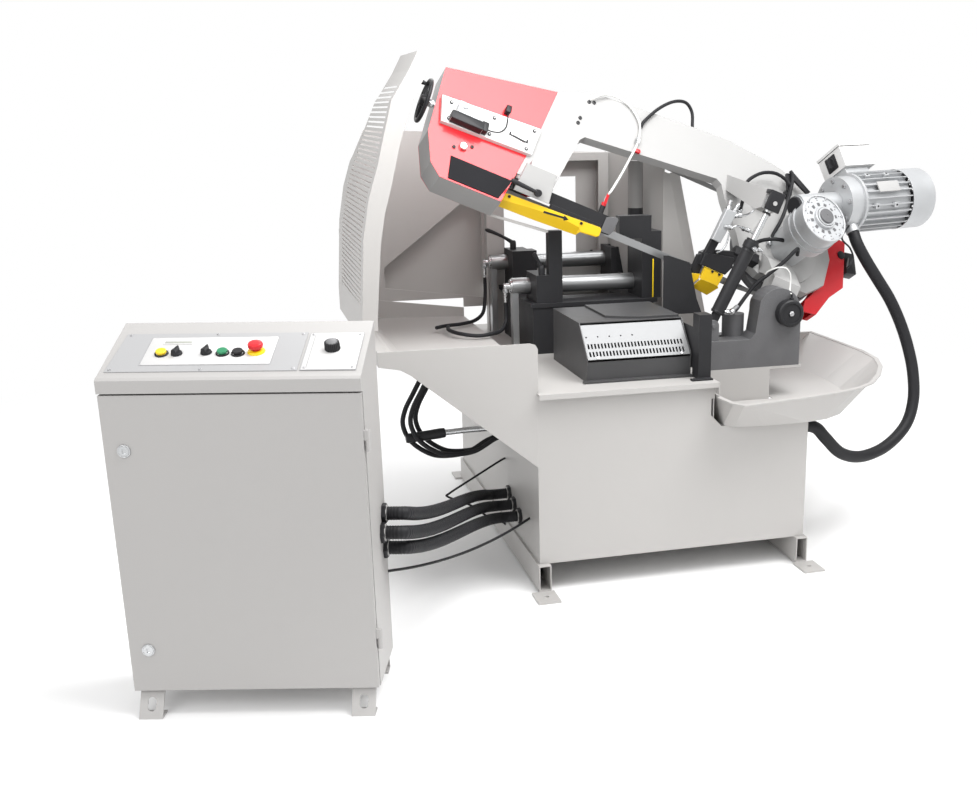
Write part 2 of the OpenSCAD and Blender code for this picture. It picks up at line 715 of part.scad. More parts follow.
module bow_frame() {
    pocket = 12;
    color(bow_white) {
        lean() difference() {
            union() {
                slab_y([[-1102, 46], [-1046, 261], [-1005, 469], [-938, 502], [-836, 541], [-662, 562],
                    [-390, 594], [-250, 604], [-45, 589], [60, 568], [150, 500], [230, 390], [270, 250],
                    [250, 120], [170, 50], [-60, 50], [-140, 90], [-172, 180], [-248, 330], [-266, 384],
                    [-290, 399], [-868, 323], [-886, 302], [-956, 46]], plate_front, plate_back);
                translate([drive_x, plate_front, wheel_r]) rotate([90, 0, 0]) cylinder(d = 296, h = 14);
            }
            slab_y([[-1010, 300], [-985, 452], [-925, 480], [-830, 518], [-660, 539], [-390, 571],
                [-250, 580], [-60, 566], [-150, 426], [-262, 426], [-872, 348], [-925, 300]],
                plate_front + pocket, plate_back + 1);
            slab_y([[-1078, 66], [-1022, 262], [-925, 262], [-980, 66]],
                plate_front + pocket, plate_back + 1);
            translate([drive_x, 1, wheel_r]) rotate([90, 0, 0]) cylinder(d = 2 * wheel_r - 90, h = 39);
            translate([drive_x, 1, wheel_r]) rotate([90, 0, 0]) cylinder(d = axle_d + 2 * fit, h = 99);
        }
        bow() {
            difference() {
                union() {
                    bar_y([0, hub_y0 + seat, 0], 2 * hub_r, hub_len - 2 * seat);
                    slab_x([[hub_y0 + 5, 30], [hub_y0 + hub_len - 3, 30], [hub_y0 + hub_len - 3, 108],
                        [-124, 108], [-121.5, 115], [-72, 185.5], [-150, 170], [hub_y0 + 5, 110]],
                        -web_x, web_x);
                }
                bar_y([0, hub_y0 - 1, 0], hinge_d + 2 * fit, hub_len + 2);
                translate([0, blade_y, blade_rise]) rotate([-bow_lean, 0, 0])
                    translate([drive_x, 0, wheel_r]) rotate([90, 0, 0])
                        cylinder(d = neck_d + 2 * seat, h = 300);
            }
            difference() {
                union() {
                    slab_x([[lift_y + 14, 318], [lift_y + 60, 308], [66, 361], [108, 422],
                        [lift_y + 14, 386]], lift_head_x - 28, lift_head_x + 28);
                    block([lift_head_x - 28, lift_y - 26, 318], [lift_head_x + 28, lift_y - 14, 386]);
                    block([lift_head_x - 28, lift_y - 26, 374], [lift_head_x + 28, lift_y + 20, 386]);
                }
                bar_y([lift_head_x, lift_y - 40, lift_head_z], lift_pin_d, 80);
            }
        }
    }
    color(steel) bow() bar_y([lift_head_x, lift_y - 32, lift_head_z], lift_pin_d, 70);
}

box_back = 45;

module idler_box() {
    t = cover_t;
    outer = [[-1375, -95], [-1417, -50], [-1451, 71], [-1440, 361], [-1005, 469], [-1046, 261],
        [-1114, 2], [-1139, -95]];
    inner = [[-1375 + t, -95 + t], [-1417 + t, -50 + t], [-1451 + t, 71], [-1440 + t, 361 - t],
        [-900, 492 - t], [-900, 20], [-1080, 20], [-1080, -95 + t]];
    color(red) lean() difference() {
        union() {
            difference() {
                slab_y(outer, plate_front, box_back);
                slab_y(inner, plate_front + t, box_back + 1);
            }
            slab_y([[-1300, 255.3], [-1060, 255.3], [-1060, 275], [-1300, 275]], plate_front, -20);
            slab_y([[-1300, 125], [-1085, 125], [-1085, 144.7], [-1300, 144.7]], plate_front, -20);
        }
        translate([-1500, -38, wheel_r]) rotate([0, 90, 0]) cylinder(d = 20 + 2 * fit, h = 80);
        block([-1128, plate_back, -96], [-900, box_back + 1, 12]);
    }
}

module tension_plate() {
    y0 = plate_front - 16;
    color(bow_white) lean() difference() {
        slab_y([[-1433, 227], [-1046, 261], [-1065, 137], [-1416, 119]], y0, plate_front);
        for (p = [[-1395, 210], [-1230, 222], [-1072, 240], [-1392, 140], [-1236, 146], [-1090, 150]])
            translate([p[0], plate_front + 1, p[1]]) rotate([90, 0, 0]) cylinder(d = 8, h = 19, $fn = 16);
        slab_y([[-1150, 178], [-1100, 172], [-1100, 182], [-1150, 188]], y0 - 1, plate_front + 1);
    }
    color(steel) lean() {
        for (p = [[-1395, 210], [-1230, 222], [-1072, 240], [-1392, 140], [-1236, 146], [-1090, 150]])
            translate([p[0], plate_front, p[1]]) rotate([90, 0, 0]) cylinder(d = 8, h = 20, $fn = 16);
        block([-1372, y0 - 34, 160], [-1282, y0, 206]);
    }
    color(dark) lean() block([-1390, y0 - 30, 128], [-1270, y0, 160]);
}

// The screwed cover over the back of the idler box.
module wheel_cover() {
    screws = [[-1425, 340], [-1200, 405], [-1000, 455], [-1400, -30], [-1160, -70], [-960, 150]];
    color(red) lean() slab_y([[-1375, -93], [-1417, -50], [-1451, 71], [-1440, 361], [-960, 479],
        [-932, 300], [-936, 150], [-990, 60], [-1060, 20], [-1114, 2], [-1139, -93]],
        box_back, box_back + cover_t);
    color(dark) lean() for (p = screws)
        translate([p[0], box_back + cover_t + 5, p[1]]) rotate([90, 0, 0]) cylinder(d = 14, h = 6, $fn = 24);
}

module idler_axle() {
    y0 = plate_front + cover_t + 0.3;
    color(cast) lean() block([-1200, y0, 145], [-1100, -20, 255]);
    color(steel) lean() {
        translate([-idler_x, -20, wheel_r]) rotate([-90, 0, 0]) cylinder(d = axle_d, h = 52);
        translate([-idler_x, wheel_t / 2 + 3, wheel_r]) rotate([-90, 0, 0]) cylinder(d = 60, h = 6);
    }
}

// A band wheel: rim with a back flange, web with round openings, and hub.
module band_wheel(bore) {
    rim = 24;
    flange = 3;
    rotate([90, 0, 0]) translate([0, 0, -wheel_t / 2]) difference() {
        union() {
            difference() {
                cylinder(r = wheel_r, h = wheel_t);
                translate([0, 0, -1]) cylinder(r = wheel_r - rim, h = wheel_t + 2);
            }
            cylinder(r = wheel_r + flange, h = 1.2);
            translate([0, 0, wheel_t / 2 - 6]) cylinder(r = wheel_r - rim + 1, h = 12);
            cylinder(r = 42, h = wheel_t);
        }
        for (i = [0 : 5]) rotate(60 * i) translate([110, 0, -1]) cylinder(r = 36, h = wheel_t + 2);
        translate([0, 0, -1]) cylinder(d = bore, h = wheel_t + 2);
    }
}

module idler_wheel() {
    color(cast) lean() translate([-idler_x, 0, wheel_r]) band_wheel(axle_d + 2 * fit);
}

module drive_wheel() {
    color(cast) lean() translate([drive_x, 0, wheel_r]) {
        band_wheel(axle_d);
        rotate([-90, 0, 0]) translate([0, 0, -drum_back]) cylinder(d = axle_d, h = drum_back + 22);
        rotate([-90, 0, 0]) translate([0, 0, wheel_t / 2]) cylinder(d = 66, h = 8);
    }
}

// The band: a closed loop round both wheels, turned upright between the guides.
band_gap = 0.3;
band_r = wheel_r + band_gap + band_t / 2;
band_lift = -band_gap - band_t / 2;
twist_from = -880;
twist_full = -760;
untwist_from = -180;
function ease(t) = let (c = min(1, max(0, t))) c * c * (3 - 2 * c);
function band_twist(x) = ease((x - twist_from) / (twist_full - twist_from))
    * (1 - ease((x - untwist_from) / 120));
band_loop = concat(
    [for (i = [0 : 40]) let (a = -90 - 180 * i / 40)
        [-idler_x + band_r * cos(a), wheel_r + band_r * sin(a), a, 0]],
    [for (i = [0 : 40]) let (a = 90 - 180 * i / 40)
        [drive_x + band_r * cos(a), wheel_r + band_r * sin(a), a, 0]],
    [for (i = [1 : 10]) let (x = drive_x - (drive_x + 185) * i / 10) [x, band_lift, -90, band_twist(x)]],
    [for (i = [0 : 4]) let (x = -200 - 550 * i / 4) [x, band_lift, -90, 1]],
    [for (i = [1 : 12]) let (x = -755 - 13 * i) [x, band_lift, -90, band_twist(x)]]);
function band_ring(p) = let (a = p[2], w = p[3] * (90 - bow_lean),
    n = [cos(a) * cos(w), -sin(w), sin(a) * cos(w)], b = [cos(a) * sin(w), cos(w), sin(a) * sin(w)])
    [for (s = [[-1, -1], [1, -1], [1, 1], [-1, 1]])
        [p[0], 0, p[1]] + n * s[0] * band_t / 2 + b * s[1] * band_w / 2];

module band() {
    n = len(band_loop);
    color(steel) lean() polyhedron(
        points = [for (p = band_loop) each band_ring(p)],
        faces = [for (i = [0 : n - 1]) for (k = [0 : 3])
            let (j = (i + 1) % n, m = (k + 1) % 4) [i * 4 + k, i * 4 + m, j * 4 + m, j * 4 + k]]);
}

module tension_handwheel() {
    wheel = 82;
    from = [-1200 - seat, -38, wheel_r];
    reach = 278;
    color(dark) lean() translate(from - [reach, 0, 0]) rotate([0, -90, 0]) {
        difference() {
            cylinder(r = wheel, h = 14);
            translate([0, 0, -1]) cylinder(r = wheel - 16, h = 16);
        }
        cylinder(d = 44, h = 22);
        for (i = [0 : 2]) rotate(120 * i) translate([10, -7, 3]) cube([wheel - 18, 14, 8]);
        translate([wheel - 8, 0, 10]) cylinder(d = 14, h = 40);
    }
    color(steel) lean() translate(from) rotate([0, -90, 0]) cylinder(d = 20, h = reach + 8);
}

// ---- Guides, in the frame of the band's line ----

bar_y0 = -50;
bar_front = -20;
bar_x0 = -1098;
bar_x1 = -716;
bar_z0 = 16;
bar_top = bar_z0 + 40;
clamp_x = [-1100, -962];
clamp_t = 15;
valve = [-757, -35];
slot_half = 3.2;

module guide_bar() {
    color(dark) bandline() {
        block([bar_x0, bar_y0, bar_z0], [bar_x1, bar_front, bar_top]);
        block([bar_x1 - 28, bar_front, bar_z0], [bar_x1, 16, 36]);
    }
    color(cast) bandline() difference() {
        block([bar_x1 - 29, bar_y0 + 2, -9], [bar_x1 + 16, 18, bar_z0]);
        block([bar_x1 - 30, -slot_half, -10], [bar_x1 + 17, slot_half, 14]);
    }
    color(steel) bandline() difference() {
        bar_z([valve[0], valve[1], bar_top], 20, 28);
        bar_z([valve[0], valve[1], bar_top + 12], 8 + 2 * fit, 30);
    }
}

module left_blade_guard() {
    y = bar_y0 - 4;
    color(yellow) bandline() {
        slab_y([[-1119, -4], [-727, -4], [-727, -38], [-815, -62], [-1126, -62]], y, y + 2.5);
        block([-1119, y, -4], [-748, bar_y0 + 24, -1.5]);
        slab_y([[-930, -4], [-727, -4], [-727, 12], [-920, 12]], y, y + 2.5);
        block([-920, y + 2.5, -1.5], [-760, bar_y0 + 20, bar_z0]);
    }
    color(dark) bandline() for (x = [-910, -745])
        translate([x, y, 4]) rotate([90, 0, 0]) cylinder(d = 10, h = 4, $fn = 24);
}

// The clamp holds the guide bar under the bow's left arm.
module guide_clamp() {
    front = bar_y0 - seat;
    color(bow_white) {
        bandline() difference() {
            union() {
                slab_y([[clamp_x[0], 13], [clamp_x[1], 13], [clamp_x[1] - 10, 118], [clamp_x[0] + 12, 118]],
                    front - clamp_t, front);
                block([clamp_x[0], front - 1, bar_top + seat], [clamp_x[1], bar_front - 3, bar_top + 12]);
            }
            translate([-1017, front + 1, 34]) rotate([90, 0, 0]) cylinder(d = 14 + 2 * fit, h = clamp_t + 2);
        }
        lean() block([-1070, plate_front - 54, 56], [-968, plate_front, 88]);
    }
}

module guide_lever() {
    front = bar_y0 - seat - clamp_t;
    color(dark) bandline() translate([-1017, front, 34]) rotate([90, 0, 0]) {
        translate([0, 0, seat]) cylinder(d = 26, h = 22);
        translate([0, 0, -14]) cylinder(d = 14, h = 15);
        hull() {
            translate([0, 0, 16]) sphere(d = 13, $fn = 24);
            translate([-104, 6, 26]) sphere(d = 18, $fn = 24);
        }
    }
}

module right_guide() {
    color(dark) bandline() {
        block([-322, -52, 18], [-200, -14, 66]);
        slab_y([[-322, 66], [-200, 66], [-170, 106], [-190, 118], [-322, 80]], -50, -16);
    }
    color(dark) lean() block([-196, plate_front - 44, 62], [-web_x - 26, plate_front, 100]);
    color(cast) bandline() difference() {
        block([-300, -48, -9], [-214, 18, 18]);
        block([-301, -slot_half, -10], [-213, slot_half, 14]);
    }
    color(yellow) bandline()
        slab_y([[-290, 24], [-178, 22], [-189, -37], [-242, -79], [-307, -68], [-326, -39]], -57, -52);
}

// ---- Drive ----

drum_back = 150;
drum_y = -330;
drum_front = -drum_y - drum_len;
worm_rise = 87;
worm_d = 92;
worm_from = -49;
rotor_d = 28;
flange_at = 146;
body_at = 221;
fan_at = body_at + motor_len;

// The motor's axis: X runs along the worm shaft, away from the gearbox.
module motor_axis() {
    lean() translate([drive_x, drum_y + drum_len / 2, wheel_r]) rotate([0, -motor_turn, 0])
        translate([0, 0, worm_rise]) children();
}

// The drive wheel's axis, running forwards from the plane of the band.
module drum_axis() { lean() translate([drive_x, 0, wheel_r]) rotate([90, 0, 0]) children(); }

module gearbox() {
    color(steel) difference() {
        union() {
            drum_axis() {
                translate([0, 0, -plate_front + 14]) cylinder(d = neck_d, h = drum_front - 50);
                translate([0, 0, drum_front]) cylinder(d = drum_d, h = drum_len - 8);
                for (z = [30, 62]) translate([0, 0, drum_front + z]) cylinder(d = drum_d + 8, h = 12);
                translate([0, 0, -drum_y - 22]) cylinder(d = drum_d + 4, h = 22);
                translate([0, 0, -drum_y]) cylinder(d = 74, h = 16);
            }
            motor_axis() bar_x([worm_from, 0, 0], worm_d, flange_at - worm_from);
        }
        drum_axis() translate([0, 0, 1]) cylinder(d = axle_d + 2 * fit, h = drum_back);
        motor_axis() bar_x([90, 0, 0], rotor_d + 2 * fit, flange_at);
    }
    color(dark) {
        drum_axis() translate([0, 0, -drum_y + 16]) cylinder(d = 56, h = 4);
        motor_axis() bar_x([worm_from - 6, 0, 0], worm_d - 14, 6);
    }
}

module motor() {
    fins = 26;
    core = motor_d - 34;
    color(steel) motor_axis() difference() {
        union() {
            bar_x([flange_at, 0, 0], 200, 14);
            bar_x([flange_at, 0, 0], core + 6, body_at - flange_at);
            bar_x([body_at, 0, 0], core, motor_len);
            bar_x([body_at - 12, 0, 0], motor_d - 8, 12);
            for (i = [0 : fins - 1]) rotate([360 * i / fins, 0, 0])
                translate([body_at - 3, -2, core / 2 - 12]) cube([motor_len, 4, 12 + (motor_d - core) / 2]);
            block([term_x + 8, -50, 60], [term_x + 130, 50, term_z]);
            translate([hose_at, 0, -hose_gland[1]]) cylinder(d = hose_d + 8, h = hose_gland[1] - 80);
        }
        bar_x([flange_at - 1, 0, 0], rotor_d + 2 * fit, motor_len + 90);
    }
}

module motor_fan() {
    disc = motor_d - 50;
    color([0.3, 0.3, 0.32]) motor_axis() {
        bar_x([92, 0, 0], rotor_d, fan_at - 60);
        bar_x([fan_at + 14, 0, 0], disc, 5);
        for (i = [0 : 6]) rotate([360 * i / 7, 0, 0])
            translate([fan_at + 18, -2, 10]) cube([34, 4, disc / 2 - 12]);
    }
}

module fan_cover() {
    d = motor_d + 2;
    color(steel) motor_axis() difference() {
        bar_x([fan_at, 0, 0], d, fan_len);
        bar_x([fan_at - 1, 0, 0], d - 5, fan_len - 2);
        for (r = [30, 52, 74, 94]) for (i = [0 : 5]) rotate([60 * i + r, 0, 0])
            translate([fan_at + fan_len - 5, -r * 0.36, r]) cube([9, r * 0.72, 7]);
    }
}

term_x = 208;
term_z = motor_d / 2 + 10;
switch_d = 12;

module terminal_box() {
    wall = 4;
    color(bow_white) motor_axis() difference() {
        union() {
            block([term_x, -66, term_z], [term_x + 160, 66, term_z + 86]);
            block([term_x - 3, -69, term_z + 86], [term_x + 163, 69, term_z + 96]);
        }
        block([term_x + wall, -62, term_z + wall], [term_x + 156, 62, term_z + 80]);
        bar_x([term_x - 1, 0, term_z + 44], switch_d + 2 * fit, wall + 2);
    }
}

module motor_switch() {
    color(dark) motor_axis() {
        bar_x([term_x - 8, 0, term_z + 44], 44, 8 - seat);
        bar_x([term_x - 8, 0, term_z + 44], switch_d, 14);
        block([term_x - 24, -5, term_z + 24], [term_x - 7, 5, term_z + 64]);
    }
}

module drive_guard() {
    t = cover_t;
    y1 = 40;
    color(red) lean() difference() {
        slab_y([[204, 132], [268, 280], [317, 403], [368, 400], [373, 179], [308, 105], [251, 2], [187, -8]],
            plate_back, y1);
        slab_y([[150, 132], [262, 282], [317 - t, 400], [368 - t, 397], [373 - t, 180], [308 - t, 107],
            [251 - t, 5], [150, -30]], plate_back + t, y1 - t);
        translate([drive_x, y1 + 1, wheel_r]) rotate([90, 0, 0]) cylinder(r = wheel_r + 12, h = 80);
    }
}

module coolant_valve() {
    z = bar_top + 28;
    color(red) bandline() {
        bar_z([valve[0], valve[1], z + seat], 18, 12);
        block([valve[0] - 5, valve[1] - 12, z + 8], [valve[0] + 5, valve[1] - 6, z + 46]);
    }
    color(steel) bandline() bar_z([valve[0], valve[1], z - 14], 8, 15);
}

// ---- Lift cylinder ----

lift_top = [hinge_x + lift_head_x * cos(rest_raise) + lift_head_z * sin(rest_raise),
    hinge_z - lift_head_x * sin(rest_raise) + lift_head_z * cos(rest_raise)];
lift_run = lift_top - lift_foot;
lift_turn = atan2(lift_run[0], lift_run[1]);
lift_reach = norm(lift_run);
eye_d = 31;
piston_d = lift_d - 12;

module lift_axis() {
    translate([lift_foot[0], lift_y, lift_foot[1]]) rotate([0, lift_turn, 0]) children();
}

module lift_barrel() {
    color(dark) lift_axis() difference() {
        union() {
            bar_z([0, 0, 48], lift_d, lift_len - 48);
            bar_z([0, 0, lift_len - 34], lift_d + 8, 24);
            bar_y([0, -12, 0], 38, 24);
            block([-14, -12, 8], [14, 12, 49]);
        }
        bar_y([0, -20, 0], lift_pin_d + 2 * fit, 40);
        bar_z([0, 0, 62], piston_d + 2 * fit, lift_len - 62 - 30);
        bar_z([0, 0, 90], lift_rod_d + 2 * fit, lift_len);
    }
}

module lift_rod() {
    piston_at = lift_reach - 310;
    color(steel) lift_axis() difference() {
        union() {
            bar_z([0, 0, piston_at], lift_rod_d, 290);
            bar_z([0, 0, piston_at], piston_d, 16);
            bar_y([0, -12, lift_reach], eye_d + 16, 24);
        }
        bar_y([0, -20, lift_reach], eye_d, 40);
    }
}

// ---- Control cabinet, in its own turned frame ----

head_front = cab_top + 47;
head_rise = head_h - 57;
head_turn = atan2(head_rise, cab_d);
door_t = 20;
pin_d = 8;
pin_x = cab_w + 8;
pin_y = -10;
lock_x = 54;
lock_z = [199, 767];
lock_d = 22;
knuckles = [cab_z + 120, cab_top - 160];
shank_d = 22;
// Places of the controls on the sloping console.
control_at = [[142, 100], [303, 100], [344, 98], [182, 100], [259, 104], [391, 108], [591, 117]];

module cab() { translate([cab_x, cab_y, 0]) rotate([0, 0, cab_turn]) children(); }
module slope() { cab() translate([0, 0, head_front]) rotate([head_turn, 0, 0]) children(); }
module control_holes(z, h) {
    for (p = control_at) translate([p[0], p[1], z]) cylinder(d = shank_d + 2 * fit, h = h);
}

// One bent foot under the cabinet, with its slot for the fork.
module cabinet_foot(x) {
    t = 6;
    difference() {
        slab_x([[-45, 0], [0, cab_z], [cab_d, cab_z], [cab_d + 12, 0], [cab_d - 34, 0], [cab_d - 34, t],
            [cab_d + 5, t], [cab_d - 5, cab_z - t], [4, cab_z - t], [-38, t], [0, t], [0, 0]], x, x + 66);
        for (z = [30, 40]) bar_y([x + 33, -60, z], 24, 90);
    }
}

module cabinet() {
    t = cab_t;
    color(paint) {
        cab() {
            difference() {
                block([0, 0, cab_z], [cab_w, cab_d, cab_top]);
                block([t, -1, cab_z + 30], [cab_w - t, cab_d - t, cab_top - t]);
                block([t, t, cab_z + t], [cab_w - t, cab_d - t, cab_z + 31]);
            }
            for (x = [13, cab_w - 79]) cabinet_foot(x);
            for (z = knuckles) {
                bar_z([pin_x, pin_y, z], 14, 30);
                bar_z([pin_x, pin_y, z + 30], pin_d, 28);
                slab_y([[cab_w - 1, z], [pin_x, z], [pin_x, z + 30], [cab_w - 1, z + 30]], pin_y, pin_y + 14);
            }
        }
        difference() {
            cab() difference() {
                slab_x([[0, cab_top], [-22, cab_top + 3], [-22, head_front - 10], [-14, head_front - 4],
                    [0, head_front], [cab_d, head_front + head_rise], [cab_d, cab_top]], 0, cab_w);
                slab_x([[t, cab_top + t], [-22 + t, cab_top + 2 * t], [-22 + t, head_front - 11],
                    [0, head_front - 4], [cab_d - t, head_front + head_rise - 5], [cab_d - t, cab_top + t]],
                    t, cab_w - t);
            }
            slope() control_holes(-30, 60);
        }
    }
    color(dark) cab() for (p = conduit_exits) gland([cab_w, p[0], p[1]], conduit_d);
}

module cabinet_door() {
    z0 = cab_z + 4;
    z1 = cab_top - 2;
    t = cab_t;
    color(paint) cab() {
        difference() {
            block([2, -door_t, z0], [cab_w - 2, -1, z1]);
            block([2 + t, -door_t + t, z0 + t], [cab_w - 2 - t, 0, z1 - t]);
            for (z = lock_z) bar_y([lock_x, -door_t - 1, z], lock_d + 2 * fit, t + 2);
        }
        for (z = knuckles) difference() {
            union() {
                bar_z([pin_x, pin_y, z + 30 + seat], 14, 27);
                block([cab_w - 4, pin_y - 6, z + 30 + seat], [pin_x, pin_y + 6, z + 57]);
            }
            bar_z([pin_x, pin_y, z + 20], pin_d + 2 * fit, 60);
        }
    }
}

module door_lock(z) {
    front = -door_t - 4;
    color(steel) cab() {
        difference() {
            union() {
                bar_y([lock_x, front, z], lock_d + 6, 4 - seat);
                bar_y([lock_x, front, z], lock_d, 20);
            }
            block([lock_x - 4, front - 1, z - 7], [lock_x + 4, front + 3, z + 7]);
        }
        block([lock_x - 6, front + 12, z - 24], [lock_x + 6, front + 15, z + 8]);
    }
}

module lower_lock() { door_lock(lock_z[0]); }
module upper_lock() { door_lock(lock_z[1]); }

plate_t = 2;
console_top = 3;
module console_panel() {
    slope() difference() {
        union() {
            color([0.5, 0.5, 0.51]) linear_extrude(plate_t)
                polygon([[14, 14], [513, 13], [513, 208], [24, 208]]);
            color(bow_white) {
                linear_extrude(console_top) polygon([[96, 44], [438, 44], [438, 186], [98, 186]]);
                linear_extrude(console_top) polygon([[520, 13], [666, 13], [666, 203], [520, 203]]);
            }
        }
        control_holes(-1, 9);
    }
}

// A push button: its cap stands proud by its travel, on a shank through the console.
module push_button(i, tint) {
    p = control_at[i];
    color(tint) slope() {
        translate([p[0], p[1], console_top + button_travel + seat]) cylinder(d = button_d, h = 6);
        translate([p[0], p[1], -16]) cylinder(d = shank_d, h = 22 + button_travel);
    }
}

module yellow_button() { push_button(0, yellow); }
module green_button() { push_button(1, [0.1, 0.5, 0.3]); }
module black_button() { push_button(2, dark); }

module selector(i) {
    p = control_at[i];
    color(dark) slope() {
        translate([p[0], p[1], console_top + seat]) cylinder(d = button_d + 1, h = 7);
        translate([p[0], p[1], -16]) cylinder(d = shank_d, h = 22);
        block([p[0] - 4, p[1] - 13, 9], [p[0] + 4, p[1] + 13, 23]);
    }
}

module left_selector() { selector(3); }
module right_selector() { selector(4); }

module emergency_stop() {
    p = control_at[5];
    color(red) slope() {
        translate([p[0], p[1], 17]) cylinder(d = estop_d, h = 13);
        translate([p[0], p[1], -16]) cylinder(d = shank_d, h = 34);
    }
}

module speed_knob() {
    p = control_at[6];
    color(dark) slope() difference() {
        union() {
            translate([p[0], p[1], console_top + seat]) cylinder(d = knob_d, h = 22);
            translate([p[0], p[1], -16]) cylinder(d = shank_d, h = 22);
        }
        for (i = [0 : 11]) translate([p[0], p[1], 8]) rotate(30 * i)
            translate([knob_d / 2, 0, 0]) cylinder(d = 5, h = 20, $fn = 16);
    }
}

// ---- Hoses and conduits ----

conduit_d = 40;
hose_d = 46;
gland_len = 14;
conduit_exits = [[205, 512], [165, 468], [205, 408]];
conduit_ends = [[-250, 226], [-330, 206], [-420, 190]];
hose_end = [-560, 480];

// A gland: a stubby collar along X that a hose meets face to face.
module gland(at, d) { bar_x(at, d + 10, gland_len); }

// Sweeps a round tube along points; up is any direction that the route never takes.
function ring_dir(p, i) =
    let (a = p[max(0, i - 1)], b = p[min(len(p) - 1, i + 1)]) (b - a) / norm(b - a);
function ring(p, i, d, up, sides) =
    let (t = ring_dir(p, i), s = cross(t, up) / norm(cross(t, up)), v = cross(s, t))
    [for (k = [0 : sides - 1]) let (a = 360 * k / sides) p[i] + d / 2 * (s * cos(a) + v * sin(a))];

module tube(p, d, up, sides = 10) {
    n = len(p);
    polyhedron(
        points = [for (i = [0 : n - 1]) each ring(p, i, d, up, sides)],
        faces = concat([[for (k = [sides - 1 : -1 : 0]) k]],
            [[for (k = [0 : sides - 1]) (n - 1) * sides + k]],
            [for (i = [0 : n - 2]) for (k = [0 : sides - 1]) let (m = (k + 1) % sides)
                [i * sides + k, i * sides + m, (i + 1) * sides + m, (i + 1) * sides + k]]));
}

// Where a point of the cabinet's own frame stands on the floor plan.
function from_cab(x, y, z) = [cab_x + x * cos(cab_turn) - y * sin(cab_turn),
    cab_y + x * sin(cab_turn) + y * cos(cab_turn), z];

module conduits() {
    up = [0, 0, 1];
    side = stand_w / 2 + gland_len;
    color(dark) for (i = [0 : 2]) let (a = conduit_exits[i], b = conduit_ends[i],
        p0 = from_cab(cab_w + gland_len, a[0], a[1]), p1 = from_cab(cab_w + gland_len + 50, a[0], a[1]),
        q1 = [-side - 60, b[0], b[1]], q0 = [-side, b[0], b[1]], run = q1 - p1)
        tube(concat([p0, p1], [for (k = [1 : 9]) let (f = k / 10, e = f * f * (3 - 2 * f))
            p1 + [run[0] * f, run[1] * (0.7 * f + 0.3 * e), run[2] * f - 20 * f * (1 - f)]],
            [q1, q0]), conduit_d, up);
}

// Where a point below the motor, h under its axis, stands at rest.
hose_at = 188;
function below_motor(h) = let (
    tx = drive_x + hose_at * cos(motor_turn) - (worm_rise - h) * sin(motor_turn),
    tz = wheel_r + hose_at * sin(motor_turn) + (worm_rise - h) * cos(motor_turn),
    ty = drum_y + drum_len / 2, by = ty * lean_c + tz * lean_s, bz = blade_rise - ty * lean_s + tz * lean_c)
    [hinge_x + tx * cos(rest_raise) + bz * sin(rest_raise), blade_y + by,
    hinge_z - tx * sin(rest_raise) + bz * cos(rest_raise)];
hose_gland = [96, 128];
hose_route = [[966, -216, 1030], [1012, -228, 960], [1064, -242, 880], [1106, -262, 788],
    [1134, -288, 690], [1146, -318, 592], [1138, -348, 488], [1088, -386, 398], [980, -430, 332],
    [850, -476, 314], [738, -518, 348], [655, -546, 420], [608, -558, 466]];
hose_out = stand_w / 2 + gland_len;

module motor_hose() {
    color(dark) tube(concat([below_motor(hose_gland[1]), below_motor(180)], hose_route,
        [[hose_out + 50, hose_end[0], hose_end[1]], [hose_out, hose_end[0], hose_end[1]]]),
        hose_d, [0, 1, 0], 12);
}

// Draws one node, or all of them.
skid_rails();
stand_shell();
top_plate();
wing_tray();
tall_guard();
rear_wall();
side_screen();
vise_bed();
fixed_jaws();
vise_cylinders();
front_jaw();
rear_jaw();
front_vise_lever();
rear_vise_lever();
chute_box();
chute_face();
arc_plate();
blade_screen();
chip_pan();
pan_pedestal();
pivot_bracket();
hinge_shaft();
bow_frame();
idler_box();
tension_plate();
wheel_cover();
idler_axle();
idler_wheel();
drive_wheel();
band();
tension_handwheel();
guide_bar();
left_blade_guard();
guide_clamp();
guide_lever();
right_guide();
gearbox();
motor();
motor_fan();
fan_cover();
terminal_box();
motor_switch();
drive_guard();
coolant_valve();
lift_barrel();
lift_rod();
cabinet();
cabinet_door();
upper_lock();
lower_lock();
console_panel();
yellow_button();
green_button();
black_button();
left_selector();
right_selector();
emergency_stop();
speed_knob();
conduits();
motor_hose();
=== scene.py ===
import math

import bmesh
import bpy
import numpy as np
from mathutils import Matrix, Vector


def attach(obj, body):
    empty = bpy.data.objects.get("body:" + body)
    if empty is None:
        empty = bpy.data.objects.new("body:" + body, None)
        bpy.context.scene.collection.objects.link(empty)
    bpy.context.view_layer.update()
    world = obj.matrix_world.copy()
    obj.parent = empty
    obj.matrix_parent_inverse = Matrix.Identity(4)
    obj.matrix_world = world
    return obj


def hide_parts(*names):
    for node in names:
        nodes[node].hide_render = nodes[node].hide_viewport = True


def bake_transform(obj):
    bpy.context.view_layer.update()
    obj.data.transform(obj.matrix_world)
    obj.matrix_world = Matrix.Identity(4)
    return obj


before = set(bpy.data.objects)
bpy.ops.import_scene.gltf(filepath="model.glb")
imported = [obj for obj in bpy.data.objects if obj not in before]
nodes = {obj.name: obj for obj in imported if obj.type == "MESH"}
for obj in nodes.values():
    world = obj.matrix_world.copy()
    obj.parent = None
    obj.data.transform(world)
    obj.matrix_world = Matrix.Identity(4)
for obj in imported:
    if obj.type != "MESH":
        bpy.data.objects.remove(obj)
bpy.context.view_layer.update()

# ---- Viewpoint ----
# A long lens stands in front and to the left of the saw at head height, looking slightly
# down along the stand, with its frame shifted so that uprights stay nearly parallel.


def in_scene(name, data):
    """A new object, linked into the scene."""
    made = bpy.data.objects.new(name, data)
    bpy.context.scene.collection.objects.link(made)
    return made


